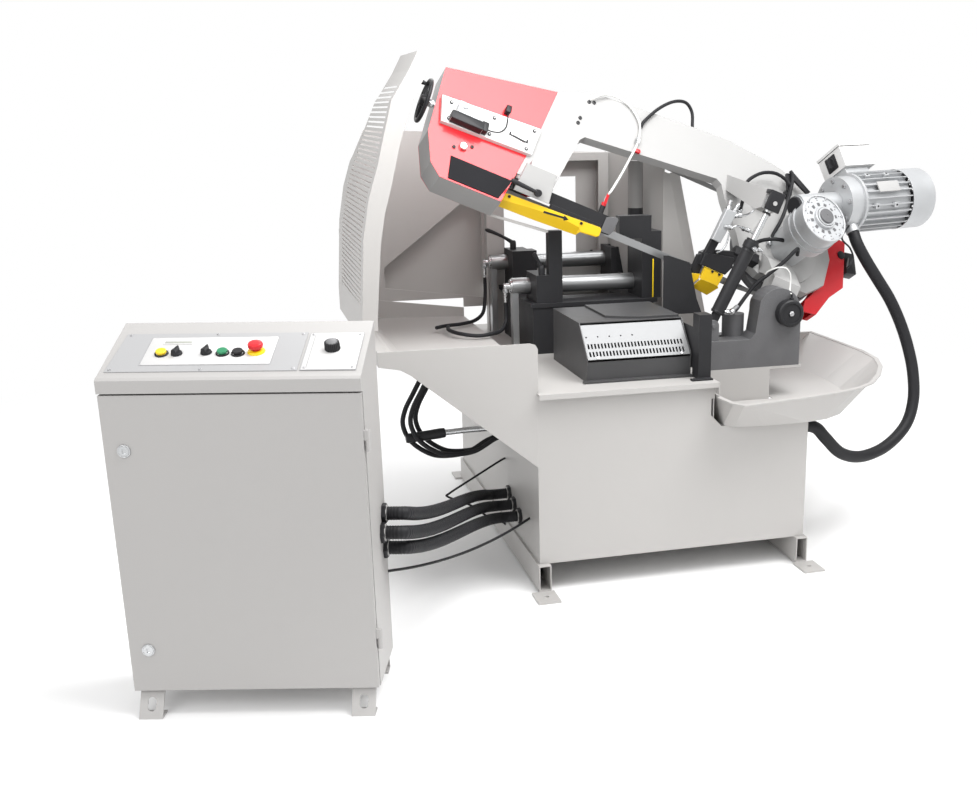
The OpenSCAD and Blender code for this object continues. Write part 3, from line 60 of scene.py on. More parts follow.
VIEW_AT = (-1.450, -4.513, 1.610)
YAW, PITCH, ROLL = (math.radians(a) for a in (15.98, 17.24, -0.48))
FOCAL_PX, CENTRE_PX, FRAME_PX = 1208.6, (578.7, 484.5), (977, 799)
ahead = np.array([math.sin(YAW) * math.cos(PITCH), math.cos(YAW) * math.cos(PITCH), -math.sin(PITCH)])
across = np.array([math.cos(YAW), -math.sin(YAW), 0.0])
above = np.cross(across, ahead)
rolled = math.cos(ROLL) * across + math.sin(ROLL) * above
upright = -math.sin(ROLL) * across + math.cos(ROLL) * above
lens = bpy.data.cameras.new("viewpoint")
lens.sensor_width = 36
lens.lens = FOCAL_PX * 36 / FRAME_PX[0]
lens.shift_x = (FRAME_PX[0] / 2 - CENTRE_PX[0]) / FRAME_PX[0]
lens.shift_y = (CENTRE_PX[1] - FRAME_PX[1] / 2) / FRAME_PX[0]
viewpoint = in_scene("viewpoint", lens)
turn = np.eye(4)
turn[:3, 0], turn[:3, 1], turn[:3, 2], turn[:3, 3] = rolled, upright, -ahead, VIEW_AT
viewpoint.matrix_world = Matrix(turn.tolist())
bpy.context.scene.camera = viewpoint

# ---- Conduits from the cabinet to the stand ----
# Three black corrugated polyamide conduits run from compression glands on the cabinet's
# right side, sagging a little, to glands low on the stand's left side.


def shader_node(tree, kind, given=(), operation=None):
    """A node of a shader tree, each given input joined to a socket or set to a value."""
    made = tree.nodes.new("ShaderNode" + kind)
    if operation:
        made.operation = operation
    for key, value in dict(given).items():
        if isinstance(value, bpy.types.NodeSocket):
            tree.links.new(value, made.inputs[key])
        else:
            made.inputs[key].default_value = value
    return made


BEVEL_RADIUS = 0.0012


def finish(name, colour, rough=(0.4, 0.5), mottle=(0.04, 6), grain=(0.02, 400), metal=0.0,
           stretch=(1, 1, 1), wear=None, coat=0.0, specular=0.5, beyond=None):
    """A finish: cloudy noise shades the colour and the gloss, fine noise lifts the surface, each given by
    its strength and its scale, and edges, found where a rounded normal leaves the flat one, may show
    wear. Beyond a plane, given by its normal and its distance along it in metres, it may be of
    another colour."""
    (mottle, mottle_size), (grain, grain_size) = mottle, grain
    made = bpy.data.materials.new(name)
    made.use_nodes = True
    tree, shader = made.node_tree, made.node_tree.nodes["Principled BSDF"]

    def node(kind, given=(), operation=None):
        return shader_node(tree, kind, given, operation)

    place = node("TexCoord").outputs["Object"]
    stretched = node("Mapping", {"Vector": place, "Scale": stretch}).outputs[0]
    clouds = node("TexNoise", {"Vector": stretched, "Scale": mottle_size, "Detail": 6}).outputs["Fac"]
    out = node("MixRGB", {"Fac": clouds, "Color1": (*[c * (1 - mottle) for c in colour], 1),
                          "Color2": (*[min(1, c * (1 + mottle)) for c in colour], 1)}).outputs[0]
    gloss = node("MapRange", {"Value": clouds, "To Min": rough[0], "To Max": rough[1]}).outputs[0]
    fine = node("TexNoise", {"Vector": stretched, "Scale": grain_size, "Detail": 2}).outputs["Fac"]
    bevel = node("Bevel", {"Radius": BEVEL_RADIUS})
    bevel.samples = 4
    rounded = bevel.outputs[0]
    lift = node("Bump", {"Strength": 1.0, "Distance": grain * 0.01, "Height": fine,
                         "Normal": rounded}).outputs[0]
    if wear:
        flat = node("NewGeometry").outputs["True Normal"]
        same = node("VectorMath", {0: flat, 1: rounded}, "DOT_PRODUCT").outputs["Value"]
        rubbed = node("MapRange", {"Value": same, "From Min": 0.97, "From Max": 0.85}).outputs[0]
        out = node("MixRGB", {"Fac": rubbed, "Color1": out, "Color2": (*wear, 1)}).outputs[0]
    if beyond:
        normal, distance, other = beyond
        along = node("VectorMath", {0: place, 1: normal}, "DOT_PRODUCT").outputs["Value"]
        past = node("Math", {0: along, 1: distance}, "GREATER_THAN").outputs[0]
        out = node("MixRGB", {"Fac": past, "Color1": out, "Color2": (*other, 1)}).outputs[0]
    for key, socket in (("Base Color", out), ("Roughness", gloss), ("Normal", lift)):
        tree.links.new(socket, shader.inputs[key])
    for key, value in (("Metallic", metal), ("Coat Weight", coat), ("Specular IOR Level", specular)):
        shader.inputs[key].default_value = value
    return made


def smooth_route(points, steps=8):
    """Catmull-Rom: each stretch between two route points is a cubic whose end slopes are half the
    chord of its neighbours; points may carry any number of columns."""
    p = np.asarray(points, float)
    p = np.vstack([2 * p[0] - p[1], p, 2 * p[-1] - p[-2]])
    t = (np.arange(steps) / steps)[None, :, None]
    a, b, c, d = (p[k:len(p) - 3 + k, None, :] for k in range(4))
    run = 0.5 * (2 * b + (c - a) * t + (2 * a - 5 * b + 4 * c - d) * t ** 2 + (3 * b - a - 3 * c + d) * t ** 3)
    return np.vstack([run.reshape(-1, p.shape[1]), p[-2]])


def compass(n, first=0.0):
    """The cosines and sines of n directions evenly round a circle."""
    q = first + np.linspace(0, 2 * np.pi, n, endpoint=False)
    return np.stack([np.cos(q), np.sin(q)], -1)


def swept(path, radius, sides=12):
    """A tube: at each path point a circle of the given radius stands across the path's direction, its
    start angle carried along without twist."""
    path = np.asarray(path, float)
    radius = np.broadcast_to(radius, len(path))
    along = np.gradient(path, axis=0)
    along /= np.linalg.norm(along, axis=1)[:, None]
    side = np.zeros_like(path)
    start = np.eye(3)[np.argmin(np.abs(along[0]))]
    side[0] = np.cross(along[0], start)
    for i in range(1, len(path)):
        side[i] = side[i - 1] - along[i] * (side[i - 1] @ along[i])
        side[i] /= np.linalg.norm(side[i])
    side[0] /= np.linalg.norm(side[0])
    up = np.cross(along, side)
    x, y = compass(sides).T[..., None]
    return lofted(path[:, None] + radius[:, None, None] * (x * side[:, None] + y * up[:, None]))


def lofted(rings):
    """Closed surface through equal rings of points: quads between neighbours, a flat face at each end."""
    n, k = rings.shape[:2]
    i, j = np.meshgrid(np.arange(n - 1), np.arange(k), indexing="ij")
    m = (j + 1) % k
    quads = np.stack([i * k + j, i * k + m, (i + 1) * k + m, (i + 1) * k + j], -1).reshape(-1, 4)
    return rings.reshape(-1, 3), [*quads.tolist(), list(range(k))[::-1], list(range((n - 1) * k, n * k))]


def piece(name, parts, material, body, sharp=35):
    """One object from several closed surfaces, given in millimetres, with faces turned outwards and
    edges sharper than the angle left crisp; it rides on its body, or on none if it bends between two,
    and takes the given material."""
    points, faces, first = [], [], 0
    for p, f in parts:
        points.append(p)
        faces += [[v + first for v in face] for face in f]
        first += len(p)
    mesh = bpy.data.meshes.new(name)
    mesh.from_pydata((np.vstack(points) / 1000).tolist(), [], faces)
    b = bmesh.new()
    b.from_mesh(mesh)
    bmesh.ops.recalc_face_normals(b, faces=b.faces)
    b.to_mesh(mesh)
    b.free()
    mesh.shade_smooth()
    mesh.set_sharp_from_angle(angle=math.radians(sharp))
    mesh.materials.append(material)
    made = in_scene(name, mesh)
    if body:
        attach(made, body)
    return made


ROOT = "machine_frame"
CABINET_AT, CABINET_TURN = (-1800, -1227, 0), math.radians(-15.3)


def on_floor(v):
    return np.asarray(v, float)


def turned_in(parent, plane, angle, at):
    """A frame at a place in its parent, turned by an angle in the plane of two of its axes."""
    (i, j), c, s = plane, math.cos(angle), math.sin(angle)

    def carried(v):
        v = np.array(v, float)
        a, b = v[..., i].copy(), v[..., j].copy()
        v[..., i], v[..., j] = a * c - b * s, a * s + b * c
        return parent(v + np.asarray(at, float))
    return carried


XY, XZ, YZ = (0, 1), (0, 2), (1, 2)
on_cabinet = turned_in(on_floor, XY, CABINET_TURN, CABINET_AT)
hose_rubber = finish("hose_rubber", (0.016, 0.016, 0.018), (0.42, 0.6), (0.25, 6), (0.03, 400),
                     specular=0.22)
CAB_W, GLAND, SIDE = 682, 14, -500
CONDUIT_EXITS, CONDUIT_ENDS = [(205, 512), (165, 468), (205, 408)], [(-250, 226), (-330, 206), (-420, 190)]
for n, ((ey, ez), (wy, wz)) in enumerate(zip(CONDUIT_EXITS, CONDUIT_ENDS)):
    p0, p1 = on_cabinet((CAB_W + GLAND, ey, ez)), on_cabinet((CAB_W + GLAND + 50, ey, ez))
    q1, q0 = np.array([SIDE - GLAND - 60, wy, wz]), np.array([SIDE - GLAND, wy, wz])
    f = np.arange(1, 10)[:, None] / 10
    e, run = f * f * (3 - 2 * f), q1 - p1
    middle = p1 + np.hstack([run[0] * f, run[1] * (0.7 * f + 0.3 * e), run[2] * f - 20 * f * (1 - f)])
    path = smooth_route(np.vstack([p0, p1, middle, q1, q0]), 16)
    travelled = np.concatenate([[0], np.cumsum(np.linalg.norm(np.diff(path, axis=0), axis=1))])
    fine_s = np.arange(0, travelled[-1], 1.6)
    fine = np.stack([np.interp(fine_s, travelled, path[:, k]) for k in range(3)], -1)
    radius = 20 - 1.3 * (0.5 + 0.5 * np.cos(2 * np.pi * fine_s / 8.0)) ** 2
    conduit = piece(f"conduit_{n + 1}", [swept(fine, radius, 20)], hose_rubber, ROOT, 60)
    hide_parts("conduits")

# ---- Hose from the motor to the stand ----
# One black rubber hose leads the motor's cables down past the chip pan and back into the
# stand's right side.
BOW_TURN, LEAN, MOTOR_TURN = (math.radians(a) for a in (22.8, 35, 28))
HINGE_X, HINGE_Z, LINE_AT = 562, 873, (0, -100, 27)
DRIVE_X, DRIVE_Z, MOTOR_FORWARD, MOTOR_ABOVE = 45, 200, 265, 87


# The bow's frame at its hinge, turned up by the drawn raise; the band's line, upright in it; the
# leaning frame of the band wheels; the worm's in the gearbox and the motor's above it, with X
# along the shaft and away from the gearbox.
on_bow = turned_in(on_floor, XZ, -BOW_TURN, (HINGE_X, 0, HINGE_Z))
on_line = turned_in(on_bow, XZ, 0, LINE_AT)
on_lean = turned_in(on_line, YZ, -LEAN, (0, 0, 0))
on_worm = turned_in(on_lean, XZ, MOTOR_TURN, (DRIVE_X, -MOTOR_FORWARD, DRIVE_Z))
on_motor = turned_in(on_worm, XZ, 0, (0, 0, MOTOR_ABOVE))
HOSE_ROUTE = [[966, -216, 1030], [1012, -228, 960], [1064, -242, 880], [1106, -262, 788], [1134, -288, 690],
              [1146, -318, 592], [1138, -348, 488], [1088, -386, 398], [980, -430, 332], [850, -476, 314],
              [738, -518, 348], [655, -546, 420], [608, -558, 466], [564, -560, 480], [514, -560, 480]]
path = smooth_route(np.vstack([on_motor([(188, 0, -128), (188, 0, -180)]), HOSE_ROUTE]), 12)
hose = piece("motor_hose_rubber", [swept(path, 23, 24)], hose_rubber, None, 60)
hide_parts("motor_hose")
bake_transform(hose)

# ---- Stand, wing and guards ----
# Folded steel sheet, welded and powder coated in a light warm grey, with a faint orange
# peel and rubbed edges; the wing and guards are thinner sheet of the same finish.
grey_paint = finish("grey_paint", (0.43, 0.418, 0.406), (0.38, 0.5), (0.03, 3), (0.02, 260),
                    wear=(0.52, 0.51, 0.50))
cabinet_paint = finish("cabinet_paint", (0.40, 0.39, 0.382), (0.4, 0.52), (0.02, 2), (0.02, 500),
                       wear=(0.5, 0.5, 0.5))
bow_paint = finish("bow_paint", (0.40, 0.397, 0.392), (0.66, 0.78), (0.03, 4), (0.03, 200), specular=0.3)
cover_white = finish("cover_white", (0.62, 0.616, 0.61), (0.4, 0.5), (0.03, 4), (0.03, 200))
red_paint = finish("red_paint", (0.62, 0.012, 0.02), (0.28, 0.4), (0.06, 5), (0.02, 260),
                   wear=(0.72, 0.08, 0.08))
yellow_paint = finish("yellow_paint", (0.78, 0.50, 0.005), (0.34, 0.45), (0.05, 9), (0.02, 300),
                      wear=(0.95, 0.8, 0.2))
black_paint = finish("black_paint", (0.022, 0.022, 0.024), (0.38, 0.55), (0.25, 9), (0.03, 260),
                     wear=(0.09, 0.09, 0.09), specular=0.22)
cast_iron = finish("cast_iron", (0.13, 0.13, 0.135), (0.5, 0.68), (0.2, 14), (0.08, 180), metal=0.3,
                   wear=(0.26, 0.26, 0.26))
bright_steel = finish("bright_steel", (0.62, 0.63, 0.64), (0.2, 0.34), (0.08, 18), (0.004, 600), metal=1.0,
                      stretch=(1, 1, 6))
motor_silver = finish("motor_silver", (0.50, 0.51, 0.52), (0.36, 0.5), (0.08, 10), (0.04, 240), metal=0.55,
                      wear=(0.7, 0.7, 0.7))
zinc = finish("zinc", (0.26, 0.263, 0.267), (0.42, 0.56), (0.12, 20), (0.01, 120), metal=0.3)
console_sheet = finish("console_sheet", (0.36, 0.36, 0.365), (0.4, 0.5), (0.03, 6))
fan_plastic = finish("fan_plastic", (0.05, 0.05, 0.055), (0.45, 0.6), (0.15, 6))
yellow_plastic = finish("yellow_plastic", (0.9, 0.62, 0.01), (0.25, 0.35), (0.04, 6), coat=0.2)
green_plastic = finish("green_plastic", (0.01, 0.22, 0.09), (0.25, 0.35), (0.06, 6), coat=0.2)
dull_steel = finish("dull_steel", (0.36, 0.365, 0.37), (0.28, 0.42), (0.12, 5), (0.01, 500), metal=0.85)


def plane_of(frame_of, axis, at):
    """The normal and distance, in metres, of a plane square to an axis of a frame."""
    n = frame_of(axis) - frame_of((0, 0, 0))
    return tuple(n), float((frame_of((0, 0, 0)) @ n + at) / 1000)


# The idler box is red on its front sheet and grey on its folded sides; the fixed jaws are
# black and the column behind them is grey above their heads.
BOX_EDGE = -58.6
box_paint = finish("box_paint", (0.62, 0.012, 0.02), (0.26, 0.36), (0.06, 5), (0.02, 260), coat=0.3,
                   beyond=(*plane_of(on_lean, (0, 1, 0), BOX_EDGE), (0.30, 0.30, 0.30)))
JAW_HEADS_TOP = 1.2235
jaw_paint = finish("jaw_paint", (0.022, 0.022, 0.024), (0.34, 0.5), (0.2, 9), (0.03, 260), specular=0.22,
                   beyond=((0, 0, 1), JAW_HEADS_TOP, (0.24, 0.235, 0.23)))
# The chute's paint is a dark grey, lighter than the black paint: partly its own semi-gloss tone, partly a painted
# sheen for the light its top catches.
chute_tone_and_painted_sheen = finish("chute_tone_and_painted_sheen", (0.05, 0.05, 0.052), (0.34, 0.5), (0.2, 9), (0.03, 260),
                     wear=(0.14, 0.14, 0.14))

FINISH_OF = {
    box_paint: "idler_box",
    jaw_paint: "fixed_jaws",
    chute_tone_and_painted_sheen: "chute_box arc_plate",
    dull_steel: "vise_cylinders band",
    grey_paint: "skid_rails stand_shell top_plate wing_tray tall_guard rear_wall side_screen chip_pan "
                "pan_pedestal",
    cabinet_paint: "cabinet cabinet_door",
    black_paint: "vise_bed front_jaw rear_jaw front_vise_lever rear_vise_lever blade_screen right_guide "
                 "tension_handwheel guide_bar guide_lever hinge_shaft motor_switch lift_barrel black_button "
                 "left_selector right_selector speed_knob",
    bright_steel: "idler_axle lift_rod upper_lock lower_lock",
    zinc: "chute_face",
    cast_iron: "pivot_bracket idler_wheel drive_wheel",
    bow_paint: "bow_frame guide_clamp",
    cover_white: "tension_plate terminal_box",
    red_paint: "wheel_cover drive_guard coolant_valve emergency_stop",
    yellow_paint: "left_blade_guard",
    motor_silver: "gearbox motor fan_cover",
    fan_plastic: "motor_fan",
    console_sheet: "console_panel",
    yellow_plastic: "yellow_button",
    green_plastic: "green_button",
}
for material, names in FINISH_OF.items():
    for name in names.split():
        mesh = nodes[name].data
        mesh.materials.clear()
        mesh.materials.append(material)

# ---- Cabinet console ----
# A sloping panel of grey laminate carries a pale key plate with display, legend tabs and
# controls, and a second plate with the speed knob; small silver screws hold both.
SLOPE_RISE, SLOPE_RUN, SLOPE_FOOT = 93, 255, 964
SLOPE_TURN = math.atan2(SLOPE_RISE, SLOPE_RUN)
LEFT, RIGHT, FRONT, BACK, DOWN, UP = (-1, 0, 0), (1, 0, 0), (0, -1, 0), (0, 1, 0), (0, 0, -1), (0, 0, 1)


on_slope = turned_in(on_cabinet, YZ, SLOPE_TURN, (0, 0, SLOPE_FOOT))


def seat_on(frame_of, origin, out=(0, 0, 1), along=(1, 0, 0)):
    """A frame whose Z points out of a face of another frame, with X along it."""
    z = np.asarray(out, float) / np.linalg.norm(out)
    x = np.asarray(along, float) - z * np.dot(along, z)
    x /= np.linalg.norm(x)
    basis = np.stack([x, np.cross(z, x), z])
    return lambda v: frame_of(np.asarray(origin, float) + np.asarray(v, float) @ basis)


def facing(frame_of, *at):
    """A frame at a place, with Z out to the front."""
    return seat_on(frame_of, at, FRONT)


def turned(profile, place, sides=28):
    """A lathe form: each (height, radius) of the profile is a circle about the frame's Z."""
    h, r = np.asarray(profile, float).T[..., None]
    x, y = compass(sides).T
    return lofted(place(np.stack([x * r, y * r, np.broadcast_to(h, (len(h), sides))], -1)))


def rounded_outline(w, d, r, n=5):
    """A rectangle about the origin with quarter-circle corners."""
    a = np.linspace(0, np.pi / 2, n)
    corner = np.stack([np.cos(a), np.sin(a)], -1) * r
    out = []
    for sx, sy, k in ((1, 1, 0), (-1, 1, 1), (-1, -1, 2), (1, -1, 3)):
        c, s = math.cos(k * np.pi / 2), math.sin(k * np.pi / 2)
        out.append(corner @ np.array([[c, s], [-s, c]]) + (sx * (w / 2 - r), sy * (d / 2 - r)))
    return np.vstack(out)


def raised(outline, levels, place):
    """A plate: the outline, drawn in by each level's inset along its corners' bisectors, at its height."""
    o = np.asarray(outline, float)
    before, after = o - np.roll(o, 1, 0), np.roll(o, -1, 0) - o
    n1, n2 = (np.stack([-e[:, 1], e[:, 0]], -1) / (np.linalg.norm(e, axis=1)[:, None] + 1e-12)
              for e in (before, after))
    inward = (n1 + n2) / (1 + (n1 * n2).sum(1))[:, None]
    rings = np.stack([np.column_stack([o + inward * inset, np.full(len(o), h)]) for h, inset in levels])
    return lofted(place(rings))


def soft_box(size, place, r=2.0, edge=1.0):
    """A block about the frame's origin with rounded uprights and eased top and bottom."""
    w, d, h = size
    e = edge
    return raised(rounded_outline(w, d, r), [(0, e), (e * 0.3, e * 0.3), (e, 0), (h - e, 0),
                                             (h - e * 0.3, e * 0.3), (h, e)], place)


def ring_of(profile, place, sides=32):
    """A closed ring: the closed (height, radius) profile carried once round the frame's Z."""
    h, r = np.asarray(profile, float).T
    x, y = compass(sides).T[..., None]
    k = len(h)
    p = place(np.stack([x * r, y * r, np.broadcast_to(h, (sides, k))], -1))
    i, j = np.meshgrid(np.arange(sides), np.arange(k), indexing="ij")
    i2, j2 = (i + 1) % sides, (j + 1) % k
    quads = np.stack([i * k + j, i * k + j2, i2 * k + j2, i2 * k + j], -1).reshape(-1, 4)
    return p.reshape(-1, 3), quads.tolist()


def cap_screw(place, r=5.0, h=4.0):
    """A socket head: a turned cap with a bore in its top."""
    return turned([(-0.5, r), (h * 0.8, r), (h, r * 0.82), (h, r * 0.5), (h * 0.4, r * 0.48), (h * 0.4, 0.05)],
                  place, 18)


black_plastic = finish("black_plastic", (0.02, 0.02, 0.022), (0.32, 0.45), (0.2, 6), (0.01, 400),
                       specular=0.25)
white_plastic = finish("white_plastic", (0.8, 0.8, 0.79), (0.3, 0.4), (0.02, 6), (0.005, 400))
screw_steel = finish("screw_steel", (0.55, 0.55, 0.56), (0.22, 0.35), (0.1, 60), (0.003, 400), metal=1.0)
key_plate = finish("key_plate", (0.66, 0.655, 0.65), (0.32, 0.42), (0.02, 6), (0.006, 400))
PLATE_TOP = 3.0
CONTROL_AT = {"yellow": (142, 100), "green": (303, 100), "black": (344, 98), "left": (182, 100),
              "right": (259, 104), "stop": (391, 108), "speed": (591, 117)}
thin = [(PLATE_TOP - 0.1, 0), (PLATE_TOP + 0.12, 0), (PLATE_TOP + 0.25, 0.3)]
piece("key_plates", [raised(rounded_outline(338, 138, 5), thin, seat_on(on_slope, (267.5, 115, 0))),
                     raised(rounded_outline(142, 186, 4), thin, seat_on(on_slope, (593, 108, 0)))],
      key_plate, ROOT)
groove = finish("panel_groove", (0.2, 0.2, 0.2), (0.5, 0.6))
line = [(PLATE_TOP + 0.2, 0), (PLATE_TOP + 0.4, 0)]
piece("speed_plate_lines", [raised(rounded_outline(0.9, 168, 0.4, 2), line, seat_on(on_slope, (x, 108, 0)))
                            for x in (535, 652)], groove, ROOT)
piece("legend_tabs", [soft_box((15, 25, 1.0), seat_on(on_slope, (262 + 19 * k, 163, PLATE_TOP)),
                               1, 0.2) for k in range(5)], white_plastic, ROOT)
piece("display_rim", [soft_box((80, 17, 2.2), seat_on(on_slope, (174, 156, PLATE_TOP)), 3, 0.6)],
      key_plate, ROOT)
display_glass = finish("display_glass", (0.36, 0.37, 0.33), (0.08, 0.14), (0.03, 6), coat=0.5)
piece("display_glass", [soft_box((72, 10, 0.6), seat_on(on_slope, (174, 156, PLATE_TOP + 2)), 1, 0.2)],
      display_glass, ROOT)
panel_screws = [(26, 24, 2), (262, 22, 2), (502, 23, 2), (500, 199, 2), (270, 201, 2), (36, 200, 2),
                (530, 24, 3), (656, 24, 3), (656, 192, 3), (530, 192, 3)]
piece("console_screws", [cap_screw(seat_on(on_slope, p), 4.2, 1.8) for p in panel_screws],
      screw_steel, ROOT)
BEZEL = [(3.0, 15.0), (6.6, 14.8), (7.4, 15.6), (7.4, 16.6), (6.4, 18.0), (3.0, 18.4)]
piece("button_bezels", [ring_of(BEZEL, seat_on(on_slope, (*CONTROL_AT[k], 0)))
                        for k in ("yellow", "green", "black")], black_plastic, ROOT)
CAP = [(-16, 10.8), (8.4, 10.9), (8.4, 13.2), (9.0, 14.0), (13.2, 14.0), (14.4, 13.0), (14.6, 9.0), (14.2, 0.05)]
for key, tint in (("yellow", yellow_plastic), ("green", green_plastic), ("black", black_plastic)):
    node = key + "_button"
    cap = piece(node + "_cap", [turned(CAP, seat_on(on_slope, (*CONTROL_AT[key], 0)), 40)], tint, node)
    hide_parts(node)
handle = [[-7, -15], [7, -15], [4, 0], [2.2, 15], [-2.2, 15], [-4, 0]]
for key in ("left", "right"):
    here = seat_on(on_slope, (*CONTROL_AT[key], 0), along=(1, -0.25, 0))
    made = piece(key + "_selector_knob",
                 [turned([(-16, 10.8), (3.4, 10.9), (3.4, 15.4), (7.5, 14.6), (9.0, 13.2), (9.4, 0.05)],
                         here, 36),
                  raised(handle, [(9.2, 0), (20, 0.8), (22.5, 2.0)], here)],
                 black_plastic, key + "_selector")
    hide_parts(key + "_selector")
stop_here = seat_on(on_slope, (*CONTROL_AT["stop"], 0))
COLLAR = [(3.1, 11.6), (9.8, 11.6), (10.4, 15), (9.0, 20.5), (5.0, 23.5), (3.1, 24)]
piece("stop_collar", [ring_of(COLLAR, stop_here)], yellow_plastic, ROOT)
mushroom = piece("emergency_stop_mushroom",
                 [turned([(-16, 10.8), (16.5, 10.9), (17.2, 16), (18.5, 19.4), (21, 20.2), (26, 20.0), (29, 18.2),
                          (30.4, 14), (30.9, 8), (31, 0.05)], stop_here, 48)], red_paint, "emergency_stop")
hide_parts("emergency_stop")
speed_here = seat_on(on_slope, (*CONTROL_AT["speed"], 0))
KNOB_SIDES, KNOB_RIBS = 192, 24
a = np.linspace(0, 2 * np.pi, KNOB_SIDES, endpoint=False)
wave = np.sin(a * KNOB_RIBS)
ribbed = 20.2 + 0.8 * np.sign(wave) * np.abs(wave) ** 0.4
heights = [(3.4, 0.98), (5.0, 1.03), (8.0, 1.0), (23.0, 0.97), (25.4, 0.93), (25.9, 0.84)]
rings = np.stack([np.stack([np.cos(a) * ribbed * k, np.sin(a) * ribbed * k, np.full(KNOB_SIDES, h)], -1)
                  for h, k in heights])
knob = piece("speed_knob_ribbed", [lofted(speed_here(rings)),
                                   turned([(-16, 10.8), (4, 10.8)], speed_here)],
             black_plastic, "speed_knob")
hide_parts("speed_knob")
star = compass(24) * np.where(np.arange(24) % 2, 17, 13.5)[:, None]
piece("speed_knob_top", [raised(star, [(25.6, 0), (26.5, 0), (26.9, 0.6)], speed_here)],
      finish("knob_top", (0.16, 0.16, 0.165), (0.3, 0.4)), "speed_knob")

# ---- Cabinet glands, door and feet ----
# Hexagonal compression nuts close the conduits at both ends; the door is a folded pan whose
# locks sit in chromed escutcheons.


def hex_nut(place, r=9.0, h=7.0):
    """A six-sided nut with eased ends."""
    return raised(compass(6) * r, [(-0.5, 0), (h - r * 0.12, 0), (h, r * 0.12)], place)


nuts = []
for (ey, ez), (wy, wz) in zip(CONDUIT_EXITS, CONDUIT_ENDS):
    nuts += [hex_nut(seat_on(on_cabinet, (CAB_W, ey, ez), RIGHT, BACK), 31, 13.5),
             hex_nut(seat_on(on_floor, (SIDE, wy, wz), LEFT, BACK), 31, 13.5)]
nuts.append(hex_nut(seat_on(on_floor, (500, -560, 480), RIGHT, BACK), 34, 13.5))
piece("gland_nuts", nuts, black_plastic, ROOT)
for lock, lz in (("lower_lock", 199), ("upper_lock", 767)):
    here = facing(on_cabinet, 54, -20, lz)
    piece(lock + "_rim", [ring_of([(0.2, 14.3), (3.2, 14.0), (4.2, 15), (3.8, 17.2), (0.2, 18.4)], here)],
          bright_steel, "cabinet_door")

# ---- Bow: idler box, tension plate and its switch ----
# The tension plate is white steel with socket screws; a limit switch in a die-cast case
# over a black base watches the band's tension, with its lead run to a plug.


def hose_run(name, points, d, material, body, steps=8, sides=12):
    """A hose laid along a smooth line through its route points."""
    path = smooth_route(points, steps)
    made = piece(name, [swept(path, d / 2, sides)], material, body, 60)
    return made


screw_black = finish("screw_black", (0.03, 0.03, 0.032), (0.3, 0.42), (0.2, 60), (0.004, 400), metal=0.4)
BOW_FACE, PLATE_FACE = -60, -76
plate_screws = [[-1395, 210], [-1230, 222], [-1072, 240], [-1392, 140], [-1236, 146], [-1090, 150]]
arm_screws = [[-875, 487], [-855, 493], [-900, 398], [-905, 372]]
piece("bow_screws", [cap_screw(facing(on_lean, x, PLATE_FACE, z), 7.0, 5.0) for x, z in plate_screws]
      + [cap_screw(facing(on_lean, x, BOW_FACE, z), 7.5, 4.5) for x, z in arm_screws]
      + [cap_screw(facing(on_lean, x, BOW_FACE, z), 6.5, 4.5) for x, z in ((-1348, 46), (-1284, 76))],
      screw_black, "bow")
piece("tension_stop_cap", [turned([(0, 15), (9, 15), (12, 12), (12.5, 0.05)],
                                  facing(on_lean, -1316, BOW_FACE, 61), 32)], bright_steel, "bow")
piece("switch_case", [soft_box((93, 49, 36), facing(on_lean, -1327, PLATE_FACE, 183), 5, 1.6),
                      turned([(0, 12), (8, 12), (9, 10), (9, 0.05)], facing(on_lean, -1350, -110, 190), 24)],
      motor_silver, "bow")
piece("switch_base", [soft_box((124, 34, 32), facing(on_lean, -1330, PLATE_FACE, 144), 6, 2),
                      soft_box((26, 40, 26), facing(on_lean, -1262, PLATE_FACE, 152), 5, 2),
                      soft_box((20, 30, 24), facing(on_lean, -1184, BOW_FACE, 284), 4, 2)],
      black_plastic, "bow")
hose_run("switch_lead", on_lean([(-1250, -90, 150), (-1228, -92, 150), (-1200, -88, 166), (-1182, -82, 200),
                                 (-1180, -76, 240), (-1183, -74, 270)]), 5, hose_rubber, "bow", steps=6, sides=10)
# The tension gauge's slot is drawn as thin black marks on the plate's face, painted shade standing in for the dark
# opening.
gauge_here = seat_on(on_lean, (-1126, PLATE_FACE, 180), FRONT, (1, 0, -0.06))
piece("tension_gauge_slot", [raised([[x0, -3], [x1, -3], [x1, z1], [x0, z1]], [(0, 0), (0.5, 0)], gauge_here)
                             for x0, x1, z1 in ((-38, 38, 4), (-38, -31, 13), (31, 38, 13))],
      black_plastic, "bow")
cover_line = [[-1345, -88], [-1152, -88], [-1118, -6], [-1118, 6], [-1352, 6]]
matte_black = finish("matte_black", (0.018, 0.018, 0.02), (0.8, 0.9), (0.2, 6), specular=0.06)
piece("lower_front_cover", [raised(cover_line, [(0, 0), (2, 0), (3, 1)], facing(on_lean, 0, BOW_FACE, 0))],
      matte_black, "bow")

# ---- Tension handwheel ----
# A cast handwheel with a domed rim, three spokes and a turned grip on the end of the
# idler's bright tension screw.
WHEEL, WHEEL_X, SCREW_Y, SCREW_Z = 82, -1478.3, -38, 200
wheel_here = seat_on(on_lean, (WHEEL_X, SCREW_Y, SCREW_Z), LEFT, UP)
rim = [(7 + 7.5 * s, WHEEL - 8 + 7.8 * c) for c, s in compass(14)]
spokes = [swept([wheel_here((math.cos(q) * r, math.sin(q) * r, 9 - 3 * (r / 74) ** 2))
                 for r in np.linspace(8, 74, 8)], np.linspace(8.5, 5.5, 8), 14) for q in (0, 2.0944, 4.18879)]
wheel_made = piece("handwheel", [ring_of(rim, wheel_here, 56),
                                 turned([(-2, 14), (0, 20), (3, 22), (15, 20), (21, 17), (23, 12), (23, 0.05)],
                                        wheel_here, 36), *spokes], black_plastic, "tension_handwheel")
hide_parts("tension_handwheel")
